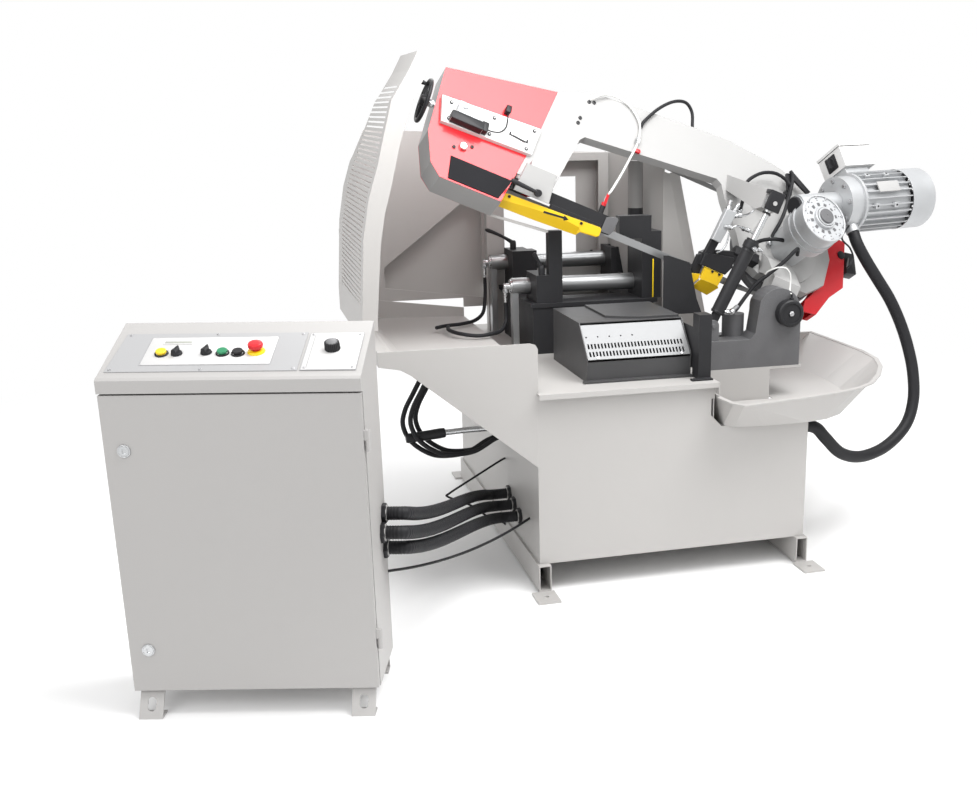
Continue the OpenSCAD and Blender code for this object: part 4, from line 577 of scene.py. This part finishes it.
piece("handwheel_grip", [turned([(10, 5), (14, 6.5), (18, 7), (34, 9.5), (46, 9), (50, 6), (51, 0.05)],
                                seat_on(on_lean, (WHEEL_X, SCREW_Y, SCREW_Z + 74), LEFT, UP), 28)],
      black_plastic, "tension_handwheel")
s = np.arange(0, 276, 1.0)
screw_line = np.stack([-1200.4 - s, np.full_like(s, SCREW_Y), np.full_like(s, SCREW_Z)], -1)
piece("tension_screw", [swept(on_lean(screw_line), 10 - 0.9 * (0.5 + 0.5 * np.cos(2 * np.pi * s / 4.0)), 20),
                        turned([(0, 15), (14, 15), (16, 13), (16, 10)],
                               seat_on(on_lean, (-1452, SCREW_Y, SCREW_Z), LEFT, UP), 6)],
      bright_steel, "tension_handwheel", 50)

# ---- Guides, guard and coolant ----
# A clear hose brings coolant over the bow's front to a red tap above the left guide; the
# guides' black bars carry socket screws.
piece("guide_screws", [cap_screw(facing(on_line, x, -54, z), 5.5, 4.5)
                       for x, z in ((-1106, -15), (-818, -6))], screw_black, "guide_arm")
clear_hose = finish("clear_hose", (0.72, 0.72, 0.70), (0.18, 0.28), (0.05, 6), (0.002, 400))
COOLANT_ROUTE = [(-866, -62, 500), (-858, -78, 507), (-835, -80, 528), (-795, -72, 552), (-752, -68, 558),
                 (-706, -68, 543), (-668, -68, 505), (-652, -68, 461), (-656, -70, 387), (-680, -76, 300),
                 (-706, -86, 215)]
coolant = np.vstack([on_lean(COOLANT_ROUTE), on_line([(-750, -44, 150), (-757, -36, 120), (-757, -35, 97)])])
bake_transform(hose_run("coolant_hose", coolant, 9, clear_hose, None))
piece("coolant_union", [turned([(-14, 6), (-12, 9), (-4, 9), (-3, 11), (6, 11), (7, 8), (16, 7.5), (18, 5)],
                               seat_on(on_lean, (-655, -69, 402)), 6)],
      bright_steel, "bow")
piece("coolant_cock", [soft_box((26, 16, 12), facing(on_lean, -650, BOW_FACE, 358), 5, 2)],
      red_paint, "bow")
hose_run("bow_cable", on_lean([(-650, -66, 470), (-640, -72, 505), (-590, -74, 588), (-530, -72, 655),
                               (-470, -60, 690), (-430, -46, 672), (-415, -36, 620), (-410, -30, 590)]),
         13, hose_rubber, "bow")

# ---- Worm gearbox face and its bolts ----
# The gearbox is an aluminium drum; its front carries a bolted ring with a rosette of slots
# round the hub's grey cap, and the worm's black end cover.


# From the drive wheel's axis, with Z running forwards out of the gearbox's face.
on_drum = turned_in(on_lean, YZ, math.pi / 2, (DRIVE_X, 0, DRIVE_Z))
drum_bolts = [cap_screw(seat_on(on_drum, (88 * c, 88 * s, 330)), 5.2, 5) for c, s in compass(12)]
flange_bolts = [hex_nut(seat_on(on_motor, (146, 86 * c, 86 * s), LEFT, BACK), 9, 8) for c, s in compass(8, 0.4)]
piece("gearbox_bolts", drum_bolts + flange_bolts, screw_steel, "bow")
rosette = [raised([[52, -6], [66, -7], [66, 7], [52, 6]], [(330, 0), (330.5, 0)],
                  seat_on(on_drum, (0, 0, 0), along=(c, s, 0))) for c, s in compass(12)]
rosette += [turned([(330, 2.6), (330.5, 2.6)], seat_on(on_drum, (76 * c, 76 * s, 0)), 12)
            for c, s in compass(16, 0.13)]
piece("gearbox_rosette", rosette, cast_iron, "bow")
piece("gearbox_face_rings", [ring_of([(329.5, 92), (334, 92), (335, 93), (335, 97), (333, 99.5), (329.5, 100.2)],
                                     on_drum, 72),
                             ring_of([(329.5, 38), (341, 38), (343, 39.5), (343, 43), (341, 45), (329.5, 46)],
                                     on_drum, 60)], motor_silver, "bow")
piece("hub_cap", [turned([(345, 30), (351, 30), (353, 28), (353, 6), (351.5, 5), (351.5, 0.05)],
                         on_drum, 48)], cast_iron, "bow")
piece("worm_end_cap", [turned([(0, 40), (8, 40), (11, 37), (11.5, 0.05)],
                              seat_on(on_motor, (-54, 0, 0), LEFT, BACK), 40)],
      black_plastic, "bow")

# ---- Motor: lugs, nameplate and terminal box ----
# Cast lugs stand between the motor's fins, a bare nameplate is riveted to its side, and the
# terminal box's lid sits on a dark gasket with a black rotary switch on its end.
lugs, lug_screws = [], []
for x in (264, 366):
    for turned_by in (-144, 147, -33, 36):
        out = np.array([0, math.cos(math.radians(turned_by)), math.sin(math.radians(turned_by))])
        lugs.append(soft_box((22, 20, 16), seat_on(on_motor, out * 104 + (x, 0, 0), out), 3, 1.5))
        if abs(turned_by) > 90:
            lug_screws.append(cap_screw(seat_on(on_motor, out * 120 + (x, 0, 0), out), 4, 2))
piece("motor_lugs", lugs, motor_silver, "bow")
piece("motor_lug_screws", lug_screws, screw_black, "bow")
piece("nameplate", [soft_box((112, 44, 6), facing(on_motor, 334, -115, 1), 3, 1)],
      bow_paint, "bow")
piece("terminal_gasket", [raised(rounded_outline(164, 136, 4), [(0, 0), (2.4, 0)],
                                 seat_on(on_motor, (288, 0, 127.5 + 84.8)))], black_plastic, "bow")
piece("switch_plate", [soft_box((60, 60, 3), seat_on(on_motor, (208, 0, 171.5), LEFT, BACK), 4, 1)],
      black_plastic, "bow")
grille = [ring_of([(0, r - 2), (2, r - 1.6), (2, r + 1.6), (0, r + 2)],
                  seat_on(on_motor, (583, 0, 0), RIGHT, BACK), 60) for r in (40, 62, 84, 104)]
piece("fan_grille", grille, motor_silver, "bow")

# ---- Lift cylinder ----
# A black barrel with a chromed rod between the pivot bracket and the bow, with silver hose
# unions screwed into its two ends.
LIFT_FOOT = np.array([268, -330, 836])
lift_top = on_bow((-216, -330, 345))
LIFT_TURN = math.atan2(lift_top[0] - LIFT_FOOT[0], lift_top[2] - LIFT_FOOT[2])


on_lift = turned_in(on_floor, XZ, -LIFT_TURN, LIFT_FOOT)
unions = []
for x, y, z, out in ((0, -29, 315, (0.2, -1, 0)), (20, -14, 68, (0.8, -0.6, 0.3)), (26, 0, 322, (1, -0.2, 0.2))):
    unions.append(turned([(0, 6), (8, 6), (8, 9), (16, 9), (16, 6), (26, 5.5), (27, 0.05)],
                         seat_on(on_lift, (x, y, z), out, (0, 0.1, 1)), 6))
piece("lift_unions", unions, bright_steel, "lift_barrel")
piece("barrel_rings", [ring_of([(z, 24.8), (z, 26.6), (z + 5, 26.6), (z + 5, 24.8)], on_lift, 40)
                       for z in (52, 300)], screw_black, "lift_barrel")
piece("rod_clevis_nut", [hex_nut(seat_on(on_lift, (0, 0, 450)), 18, 8)], screw_black, "lift_rod")

# ---- Pivot cap and its grease line ----
# A black cap closes the hinge shaft, with a bright centre screw and a grease fitting fed by
# a thin white tube.
piece("pivot_cap_rim", [ring_of([(33, 36), (38, 38), (38, 46), (34, 50.6), (20, 51.2), (20, 36)],
                                facing(on_floor, HINGE_X, -365, HINGE_Z), 56)], black_plastic, ROOT)
centre_here = facing(on_floor, HINGE_X, -399, HINGE_Z)
piece("pivot_centre", [hex_nut(centre_here, 10, 8),
                       turned([(8, 4), (12, 4), (13, 2), (13, 0.05)], centre_here, 16)],
      screw_steel, ROOT)
piece("grease_fitting", [hex_nut(seat_on(on_floor, (570, -380, 922)), 9, 8),
                         turned([(6, 5), (16, 4), (20, 5), (22, 3)], seat_on(on_floor, (570, -380, 922)), 14)],
      black_plastic, ROOT)

# ---- Vise: hydraulic fittings, scale and screws ----
# Silver elbows feed the two vise cylinders at their left ends, and black hoses drop from
# them to the wing's floor; a thin yellow strip stands on the front of the fixed jaws.
TUBES, TUBE_RADIUS = ((80, 957), (466, 1005)), 31.5
fittings = []
for y, z in TUBES:
    here = seat_on(on_floor, (-400, y, z), LEFT, BACK)
    fittings += [turned([(0, 26), (6, 26), (8, 23), (8, 12), (20, 12), (22, 10), (30, 9), (30, 0.05)], here, 32),
                 turned([(-12, 8), (10, 8), (12, 6), (12, 0.05)], seat_on(on_floor, (-424, y, z)), 20),
                 hex_nut(seat_on(on_floor, (-424, y, z - 12), DOWN), 11, 12),
                 turned([(0, 7), (24, 6.5), (40, 6)], seat_on(on_floor, (-424, y, z - 22), DOWN), 16)]
piece("vise_fittings", fittings, bright_steel, ROOT)
piece("tube_screws", [cap_screw(seat_on(on_floor, (40, y, z + TUBE_RADIUS)), 6, 4) for y, z in TUBES],
      screw_black, ROOT)
piece("jaw_scale", [soft_box((5, 2, 148), seat_on(on_floor, (137, -45.8, 907)), 0.9, 0.3),
                    soft_box((2.2, 14, 16), seat_on(on_floor, (-228, -20, 1100), (0, 0, 1)), 1, 0.3)],
      yellow_plastic, ROOT)
HOSE_ON_WING = {
    "vise_hose_front": [(-424, 80, 896), (-424, 80, 862), (-428, 70, 822), (-452, 40, 795), (-500, 0, 790),
                        (-560, -20, 790), (-620, 10, 796), (-650, 80, 800), (-640, 160, 800)],
    "vise_hose_rear": [(-424, 466, 944), (-424, 466, 900), (-430, 450, 850), (-450, 400, 808), (-500, 320, 792),
                       (-570, 250, 792), (-640, 200, 797), (-690, 130, 803)],
}
for name, route in HOSE_ON_WING.items():
    hose_run(name, route, 15, hose_rubber, ROOT)

# ---- Chute screws ----
# Bright screws hold the black chute's slotted face.
piece("chute_screws", [cap_screw(seat_on(on_floor, p, (0, -1, 0.9)), 6, 3)
                       for p in ((-262, -618, 798), (44, -618, 798))], screw_steel, ROOT)

# ---- Drive side: manifold, hoses and brackets ----
# Hydraulic hoses loop from silver unions on the bow to the lift cylinder; an oil manifold
# stands on a black post over the right guide.


def fitting(place, r):
    """A hose union: a hexagon, a collar and a ferrule, one over the other."""
    return [hex_nut(place, r * 1.15, 9),
            turned([(7, r * 0.8), (16, r * 0.8), (17, r), (30, r), (31, r * 0.7), (34, r * 0.6)], place, 20)]


piece("guide_post", [raised([[-318, 62], [-286, 62], [-262, 250], [-296, 250]], [(0, 1), (1, 0), (22, 0), (23, 1)],
                            facing(on_line, 0, -34, 0))], black_plastic, "bow")
piece("manifold", [raised([[-321, 124], [-284, 122], [-266, 251], [-312, 248]],
                          [(0, 1.5), (1.5, 0), (26, 0), (27.5, 1.5)], facing(on_line, 0, -58, 0))],
      motor_silver, "bow")
unions = []
for (x, y, z), out in (((-300, -70, 250), (-0.1, 0, 1)), ((-276, -74, 250), (0.25, 0, 1)),
                       ((-268, -70, 236), (1, 0, 0.45)), ((-290, -84, 186), (0.6, -0.8, 0.1)),
                       ((-222, -84, 204), (1, 0, 0.1))):
    unions += fitting(seat_on(on_line, (x, y, z), out, (0, 1, 0.1)), 8.5)
piece("manifold_unions", unions, bright_steel, "bow")
pipes = [[(-236, -70, 250), (-224, -70, 256), (-210, -72, 268), (-204, -74, 282), (-203, -74, 296)],
         [(-268, -88, 190), (-254, -88, 200), (-240, -86, 206), (-222, -84, 204)],
         [(-190, -84, 206), (-172, -80, 202), (-160, -72, 190), (-154, -58, 182)],
         [(-262, -76, 170), (-256, -76, 130), (-262, -72, 100), (-272, -60, 84)]]
piece("manifold_pipes", [swept(smooth_route(on_line(p), 6), 3.6, 12) for p in pipes], bright_steel, "bow")
loop = on_lean([(-178, -62, 276), (-181, -84, 292), (-186, -104, 326), (-188, -108, 366), (-170, -108, 420),
                (-116, -108, 477), (-56, -108, 505), (-7, -108, 500), (22, -108, 482)])
hose_run("bow_hose_loop", loop, 14, hose_rubber, "bow")
drop = on_lean([(18, -108, 548), (27, -112, 530), (26, -114, 487), (14, -114, 402), (4, -112, 340),
                (-10, -108, 285), (-27, -100, 236), (-34, -92, 205)])
hose_run("bow_hose_drop", drop, 15, hose_rubber, "bow")
piece("hose_ends", fitting(seat_on(on_lean, (-178, BOW_FACE, 270), (0, -0.7, 0.7)), 9)
      + fitting(seat_on(on_lean, (-40, -86, 178), (0.1, -0.2, 1)), 8.5), bright_steel, "bow")
hose_run("gearbox_hose", on_lean([(50, -150, 165), (10, -158, 170), (-30, -160, 164), (-70, -150, 156),
                                  (-104, -120, 148), (-118, -80, 140), (-120, -58, 136)]), 15, hose_rubber, "bow")
piece("hose_bracket", [raised([[3, 536], [42, 552], [125, 499], [112, 484], [44, 520], [26, 456], [16, 460]],
                              [(0, 0.6), (1, 0), (8, 0), (9, 0.6)], facing(on_lean, 0, -92, 0)),
                       soft_box((22, 30, 34), facing(on_lean, 32, BOW_FACE, 462), 3, 1)],
      black_plastic, "bow")
piece("pressure_knob", [turned([(0, 14), (8, 16), (10, 27), (16, 29), (38, 26), (44, 22), (46, 0.05)],
                               seat_on(on_lean, (-84, BOW_FACE, 372), (-0.25, -1, 0.1)), 40)],
      finish("grey_cap", (0.07, 0.07, 0.07), (0.4, 0.5), (0.1, 6)), "bow")
piece("rod_head_cover", [soft_box((60, 15, 72), seat_on(on_bow, (-216, -351, 316)), 4, 1.5),
                         soft_box((60, 50, 15), seat_on(on_bow, (-216, -333, 373.4)), 4, 1.5)],
      black_plastic, "bow")
piece("guide_sensor", [soft_box((52, 96, 46), seat_on(on_lean, (418, 48, 330), FRONT, (1, 0, 0.2)), 5, 2),
                       turned([(0, 18), (5, 18), (6, 16), (6, 0.05)], facing(on_lean, 352, -20, 330), 28)],
      black_plastic, "bow")
SENSOR_ROUTE = [[834, -250, 1129], [871, -250, 1089], [887, -248, 1050], [870, -240, 1013]]
hose_run("sensor_cable", np.vstack([on_motor([(170, -12, -100)]), SENSOR_ROUTE, on_lean([(408, 4, 352)])]),
         7, hose_rubber, "bow")
LIFT_HOSE = np.array([[655, -238, 1070], [641, -262, 1095], [593, -268, 1056], [533, -270, 1013], [472, -274, 974],
                      [430, -284, 934], [392, -310, 905], [362, -340, 889], [338, -357, 885]], float)
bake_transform(hose_run("lift_hose", LIFT_HOSE, 15, hose_rubber, None, steps=10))
piece("lift_hose_ferrule", [turned([(-4, 8), (0, 10), (6, 12), (12, 12), (13, 10), (50, 10), (52, 8)],
                                   seat_on(on_floor, (336, -359, 884), (54, 47, 20), (0, 0, 1)), 24)],
      bright_steel, "lift_barrel")
GREASE = np.array([[570, -378, 940], [578, -345, 950], [585, -332, 975], [584, -330, 1008], [566, -330, 1033],
                   [535, -320, 1036], [508, -300, 1022], [499, -290, 1009]], float)
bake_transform(hose_run("grease_line", GREASE, 6, clear_hose, None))

# ---- Under the wing: pump rod and cords ----
# Two black hoses loop under the wing into the stand's side, above a bright rod with a black
# grip; thin cables hang below and one runs across the floor from the cabinet.
WING_LOOP = [(-812, -200, 676), (-840, -200, 626), (-873, -200, 565), (-884, -200, 509), (-861, -202, 450),
             (-810, -206, 405), (-752, -210, 383), (-657, -212, 387), (-579, -212, 427), (-540, -212, 440),
             (-504, -212, 440)]
for n, (dx, dy, dz) in enumerate(((0, 0, 0), (24, -34, 12), (52, 30, 6))):
    loop = np.array(WING_LOOP, float)
    loop[:-1] += (dx, dy, dz)
    loop[-1] += (0, dy, dz)
    hose_run(f"wing_hose_{n + 1}", loop, 18, hose_rubber, ROOT)
rod = [(-502, -215, 476), (-560, -215, 476), (-640, -212, 475), (-733, -210, 471)]
piece("pump_rod", [swept(smooth_route(rod, 4), 11, 24), hex_nut(seat_on(on_floor, rod[0], LEFT, BACK), 24, 16)],
      bright_steel, ROOT)
piece("pump_grip", [turned([(0, 14), (3, 18), (20, 19), (130, 17.5), (140, 18.5), (148, 15), (149, 0.05)],
                           seat_on(on_floor, (-730, -210, 471), (-1, 0, -0.08), (0, 1, 0)), 28)],
      black_plastic, ROOT)
hose_run("wing_cable", [(-503, -200, 350), (-530, -200, 338), (-642, -200, 276), (-720, -200, 232),
                        (-728, -200, 217), (-646, -200, 177), (-570, -200, 117), (-520, -200, 94),
                        (-509, -200, 84)],
         8, hose_rubber, ROOT)
start, end = on_cabinet((682, 245, 320)), np.array([-500, -560, 226], float)
f = np.linspace(0, 1, 9)[:, None]
floor_cable = start + (end - start) * f + np.array([0, 0, -34.0]) * f * (1 - f) * 4
hose_run("cabinet_cable", floor_cable, 9, hose_rubber, ROOT)

# ---- Left blade guard, its arrow and the lower lip ----
# One yellow sheet bent along a slanting fold, its lower leaf drawn back under the band; it
# carries a plain arrow for the running direction. A grey lip closes the bow underneath.
GUARD = np.array([[-1126, -9, -36, -62, 20], [-1108, -7, -33, -61.5, 20], [-1000, -3.5, -22, -60, 22],
                  [-862, 1, -18, -55, 20], [-817, 3, -23, -53, 18], [-810, 3.4, -34, -38, 2],
                  [-745, 6.5, -28, -32, 2], [-736, 1, -22, -26, 2]], float)


def guard_sheet(stations, front, t):
    """A bent sheet: at each x, a straight leaf from top to fold and a lower leaf drawn back to its foot."""
    x, top, fold, foot, back = stations.T
    y = np.stack([0 * x, 0 * x, back, back + t, 0 * x + t, 0 * x + t], -1) + front
    z = np.stack([top, fold, foot, foot + 1, fold + 1, top], -1)
    return np.stack([np.broadcast_to(x[:, None], y.shape), y, z], -1)


leaf = np.stack([np.broadcast_to(GUARD[:, :1], (8, 4)), np.broadcast_to([-53.9, -53.9, -27, -27], (8, 4)),
                 GUARD[:, 1:2] - [0.1, 2.4, 2.4, 0.1]], -1)
guard = piece("yellow_guard", [lofted(on_line(guard_sheet(GUARD, -54, 2.4))), lofted(on_line(leaf))],
              yellow_paint, "guide_arm", 12)
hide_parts("left_blade_guard")
piece("guard_hanger", [soft_box((206, 18, 22), seat_on(on_line, (-846, -42, -5)), 2, 1)],
      black_plastic, "guide_arm")
arrow = [[-967, -23], [-888, -15.6], [-884, -21], [-867, -11.6], [-887.5, -2.4], [-888.4, -8], [-967, -15.4]]
piece("running_arrow", [raised(arrow, [(0, 0), (0.5, 0)], facing(on_line, 0, -54.2, 0))],
      black_plastic, "guide_arm")
piece("lower_lip", [raised([[-1148, -97], [-915, -75], [-913, -80], [-917, -84], [-1148, -105]],
                           [(0, 1), (1, 0), (25, 0), (26, 1)], facing(on_line, 0, 12, 0))],
      grey_paint, "bow")
piece("roller_head", [raised([[-735, -4], [-733, 47], [-724, 52], [-694, 60], [-690, 56], [-692, 12], [-700, -4]],
                             [(0, 2), (2, 0), (32, 0), (34, 2)], facing(on_line, 0, -20, 0))],
      cast_iron, "guide_arm")

# ---- Right guide and its yellow cover ----
# A black head on a bracket from the bow holds the slotted roller block; a yellow cover stands
# in front of it, bent back below along a fold, with a leaf at its left.
UP_FRONT = facing(on_line, 0, -3, 0)
head = piece("right_guide_head", [
    raised([[-322, 66], [-316, 22], [-205, 20], [-186, 62], [-170, 106], [-190, 118], [-301, 84]],
           [(0, 1.5), (1.5, 0), (36, 0), (38, 2)], UP_FRONT),
    raised([[-205, 20], [-188, 56], [-196, 93], [-301, 72], [-316, 64], [-318, 20]],
           [(36, 0), (56, 0), (58, 2)], UP_FRONT),
    raised([[-336, 52], [-336, -8], [-316, -30], [-298, -26], [-298, 20], [-316, 64], [-322, 62]],
           [(22, 1), (23, 0), (34, 0), (36, 2)], UP_FRONT),
    soft_box((110, 44, 38), seat_on(on_lean, (-141, -82, 62)), 3, 1.5)], black_plastic, "bow")
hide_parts("right_guide")
piece("right_roller_block", [soft_box((86, 44, 27), seat_on(on_line, (-257, -26, -9)), 3, 1.5),
                             soft_box((86, 14, 27), seat_on(on_line, (-257, 11, -9)), 2, 1),
                             soft_box((86, 60, 5), seat_on(on_line, (-257, -15, 14)), 2, 1)],
      cast_iron, "bow")
COVER_TILT = seat_on(on_line, (0, -64, -29), (0, -44, -30))
piece("right_guide_cover", [
    raised([[-297, 21], [-294, -28], [-218, -31], [-212, 18]], [(58, 0), (60.5, 0), (61, 0.5)], UP_FRONT),
    raised([[-294, 1], [-305, -50], [-232, -58], [-210, -8], [-218, -2]],
           [(-2.5, 0), (-0.4, 0), (0, 0.4)], COVER_TILT),
    raised([[-334, -22], [-297, -12], [-296, -30], [-318, -66], [-324, -60]],
           [(38, 0), (40.5, 0), (41, 0.5)], UP_FRONT),
    soft_box((3, 16, 49), seat_on(on_line, (-295, -56, -28)), 1, 0.4),
    soft_box((80, 16, 3), seat_on(on_line, (-255, -56, 16)), 1, 0.4)], yellow_paint, "bow", 12)
piece("right_cover_screws", [cap_screw(facing(on_line, x, -64, 13), 5, 4) for x in (-262, -231)],
      screw_black, "bow")

# ---- Clamping levers ----
# Each lever has a domed hub and a tapering plastic arm that ends in a rounded grip.


def lever_form(hub, tip, up):
    """A hub along up, and a tapering arm swept from it to the tip on a slight curve."""
    hub, tip = np.asarray(hub, float), np.asarray(tip, float)
    t = np.linspace(0, 1, 14)[:, None]
    arm = hub + (tip - hub) * t + np.asarray(up) * (5 * t * (1 - t) * 4)
    thick = np.interp(t[:, 0], [0, 0.12, 0.3, 0.55, 0.9, 0.97, 1], [9, 8, 6.3, 6.6, 8.6, 7, 3])
    return swept(arm, thick, 18)


for node, stud, top, reach in (("front_vise_lever", (-306, -30), 1010, (-30, 0, 84)),
                               ("rear_vise_lever", (-306, 440), 1060, (-116, 0, 83))):
    base = np.array([*stud, top], float)
    made = piece(node + "_handle",
                 [turned([(-17, 7), (0.4, 7), (0.4, 12.6), (20, 13), (30, 12), (35, 8), (36, 0.05)],
                         seat_on(on_floor, base), 32), lever_form(base + (0, 0, 25), base + reach, (0, 0, 1))],
                 black_plastic, node)
    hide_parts(node)

# ---- Floor and light ----
# A pale floor that whitens away from the saw into a plain white background; a large soft lamp
# stands high in front and to the right, where the bow's leaning face mirrors it.
ground = bpy.data.materials.new("studio_floor")
ground.use_nodes = True
tree, matt = ground.node_tree, ground.node_tree.nodes["Principled BSDF"]
matt.inputs["Base Color"].default_value = (0.9, 0.9, 0.9, 1)
matt.inputs["Roughness"].default_value = 0.8
matt.inputs["Specular IOR Level"].default_value = 0.1
place = shader_node(tree, "TexCoord").outputs["Object"]
distance = shader_node(tree, "VectorMath", {0: place}, "LENGTH").outputs["Value"]
fade = shader_node(tree, "MapRange", {"Value": distance, "From Min": 1.6, "From Max": 4.2})
fade.interpolation_type = "SMOOTHSTEP"
white = shader_node(tree, "Emission").outputs[0]
whitened = shader_node(tree, "MixShader", {"Fac": fade.outputs[0], 1: matt.outputs[0], 2: white}).outputs[0]
tree.links.new(whitened, tree.nodes["Material Output"].inputs["Surface"])
bpy.ops.mesh.primitive_plane_add(size=60, location=(0, 0, 0))
floor = bpy.context.object
floor.name = "studio_floor"
floor.data.materials.append(ground)
sky = bpy.data.worlds.new("studio")
bpy.context.scene.world = sky
sky.use_nodes = True
tree, back = sky.node_tree, sky.node_tree.nodes["Background"]
seen = shader_node(tree, "LightPath").outputs["Is Camera Ray"]
level = shader_node(tree, "MapRange", {"Value": seen, "To Min": 0.82, "To Max": 1.0}).outputs[0]
tree.links.new(level, back.inputs["Strength"])
back.inputs["Color"].default_value = (1, 1, 1, 1)
for name, at, look, size, power in (("key", (1.3, -2.0, 4.9), (-0.6, -0.3, 1.2), 3.3, 262),
                                    ("inner", (-0.75, -0.9, 2.3), (-0.35, 0.6, 1.05), 0.9, 15),
                                    ("fill", (-4.2, -4.4, 3.4), (-0.6, -0.4, 0.7), 2.5, 80),
                                    ("rim", (0.5, 4.5, 4.5), (0, 0, 1.0), 3.0, 90)):
    lamp = bpy.data.lights.new(name, "AREA")
    lamp.size, lamp.energy = size, power
    held = in_scene(name, lamp)
    held.location = at
    held.rotation_euler = (Vector(look) - Vector(at)).to_track_quat("-Z", "Y").to_euler()
bpy.context.scene.view_settings.view_transform = "Standard"
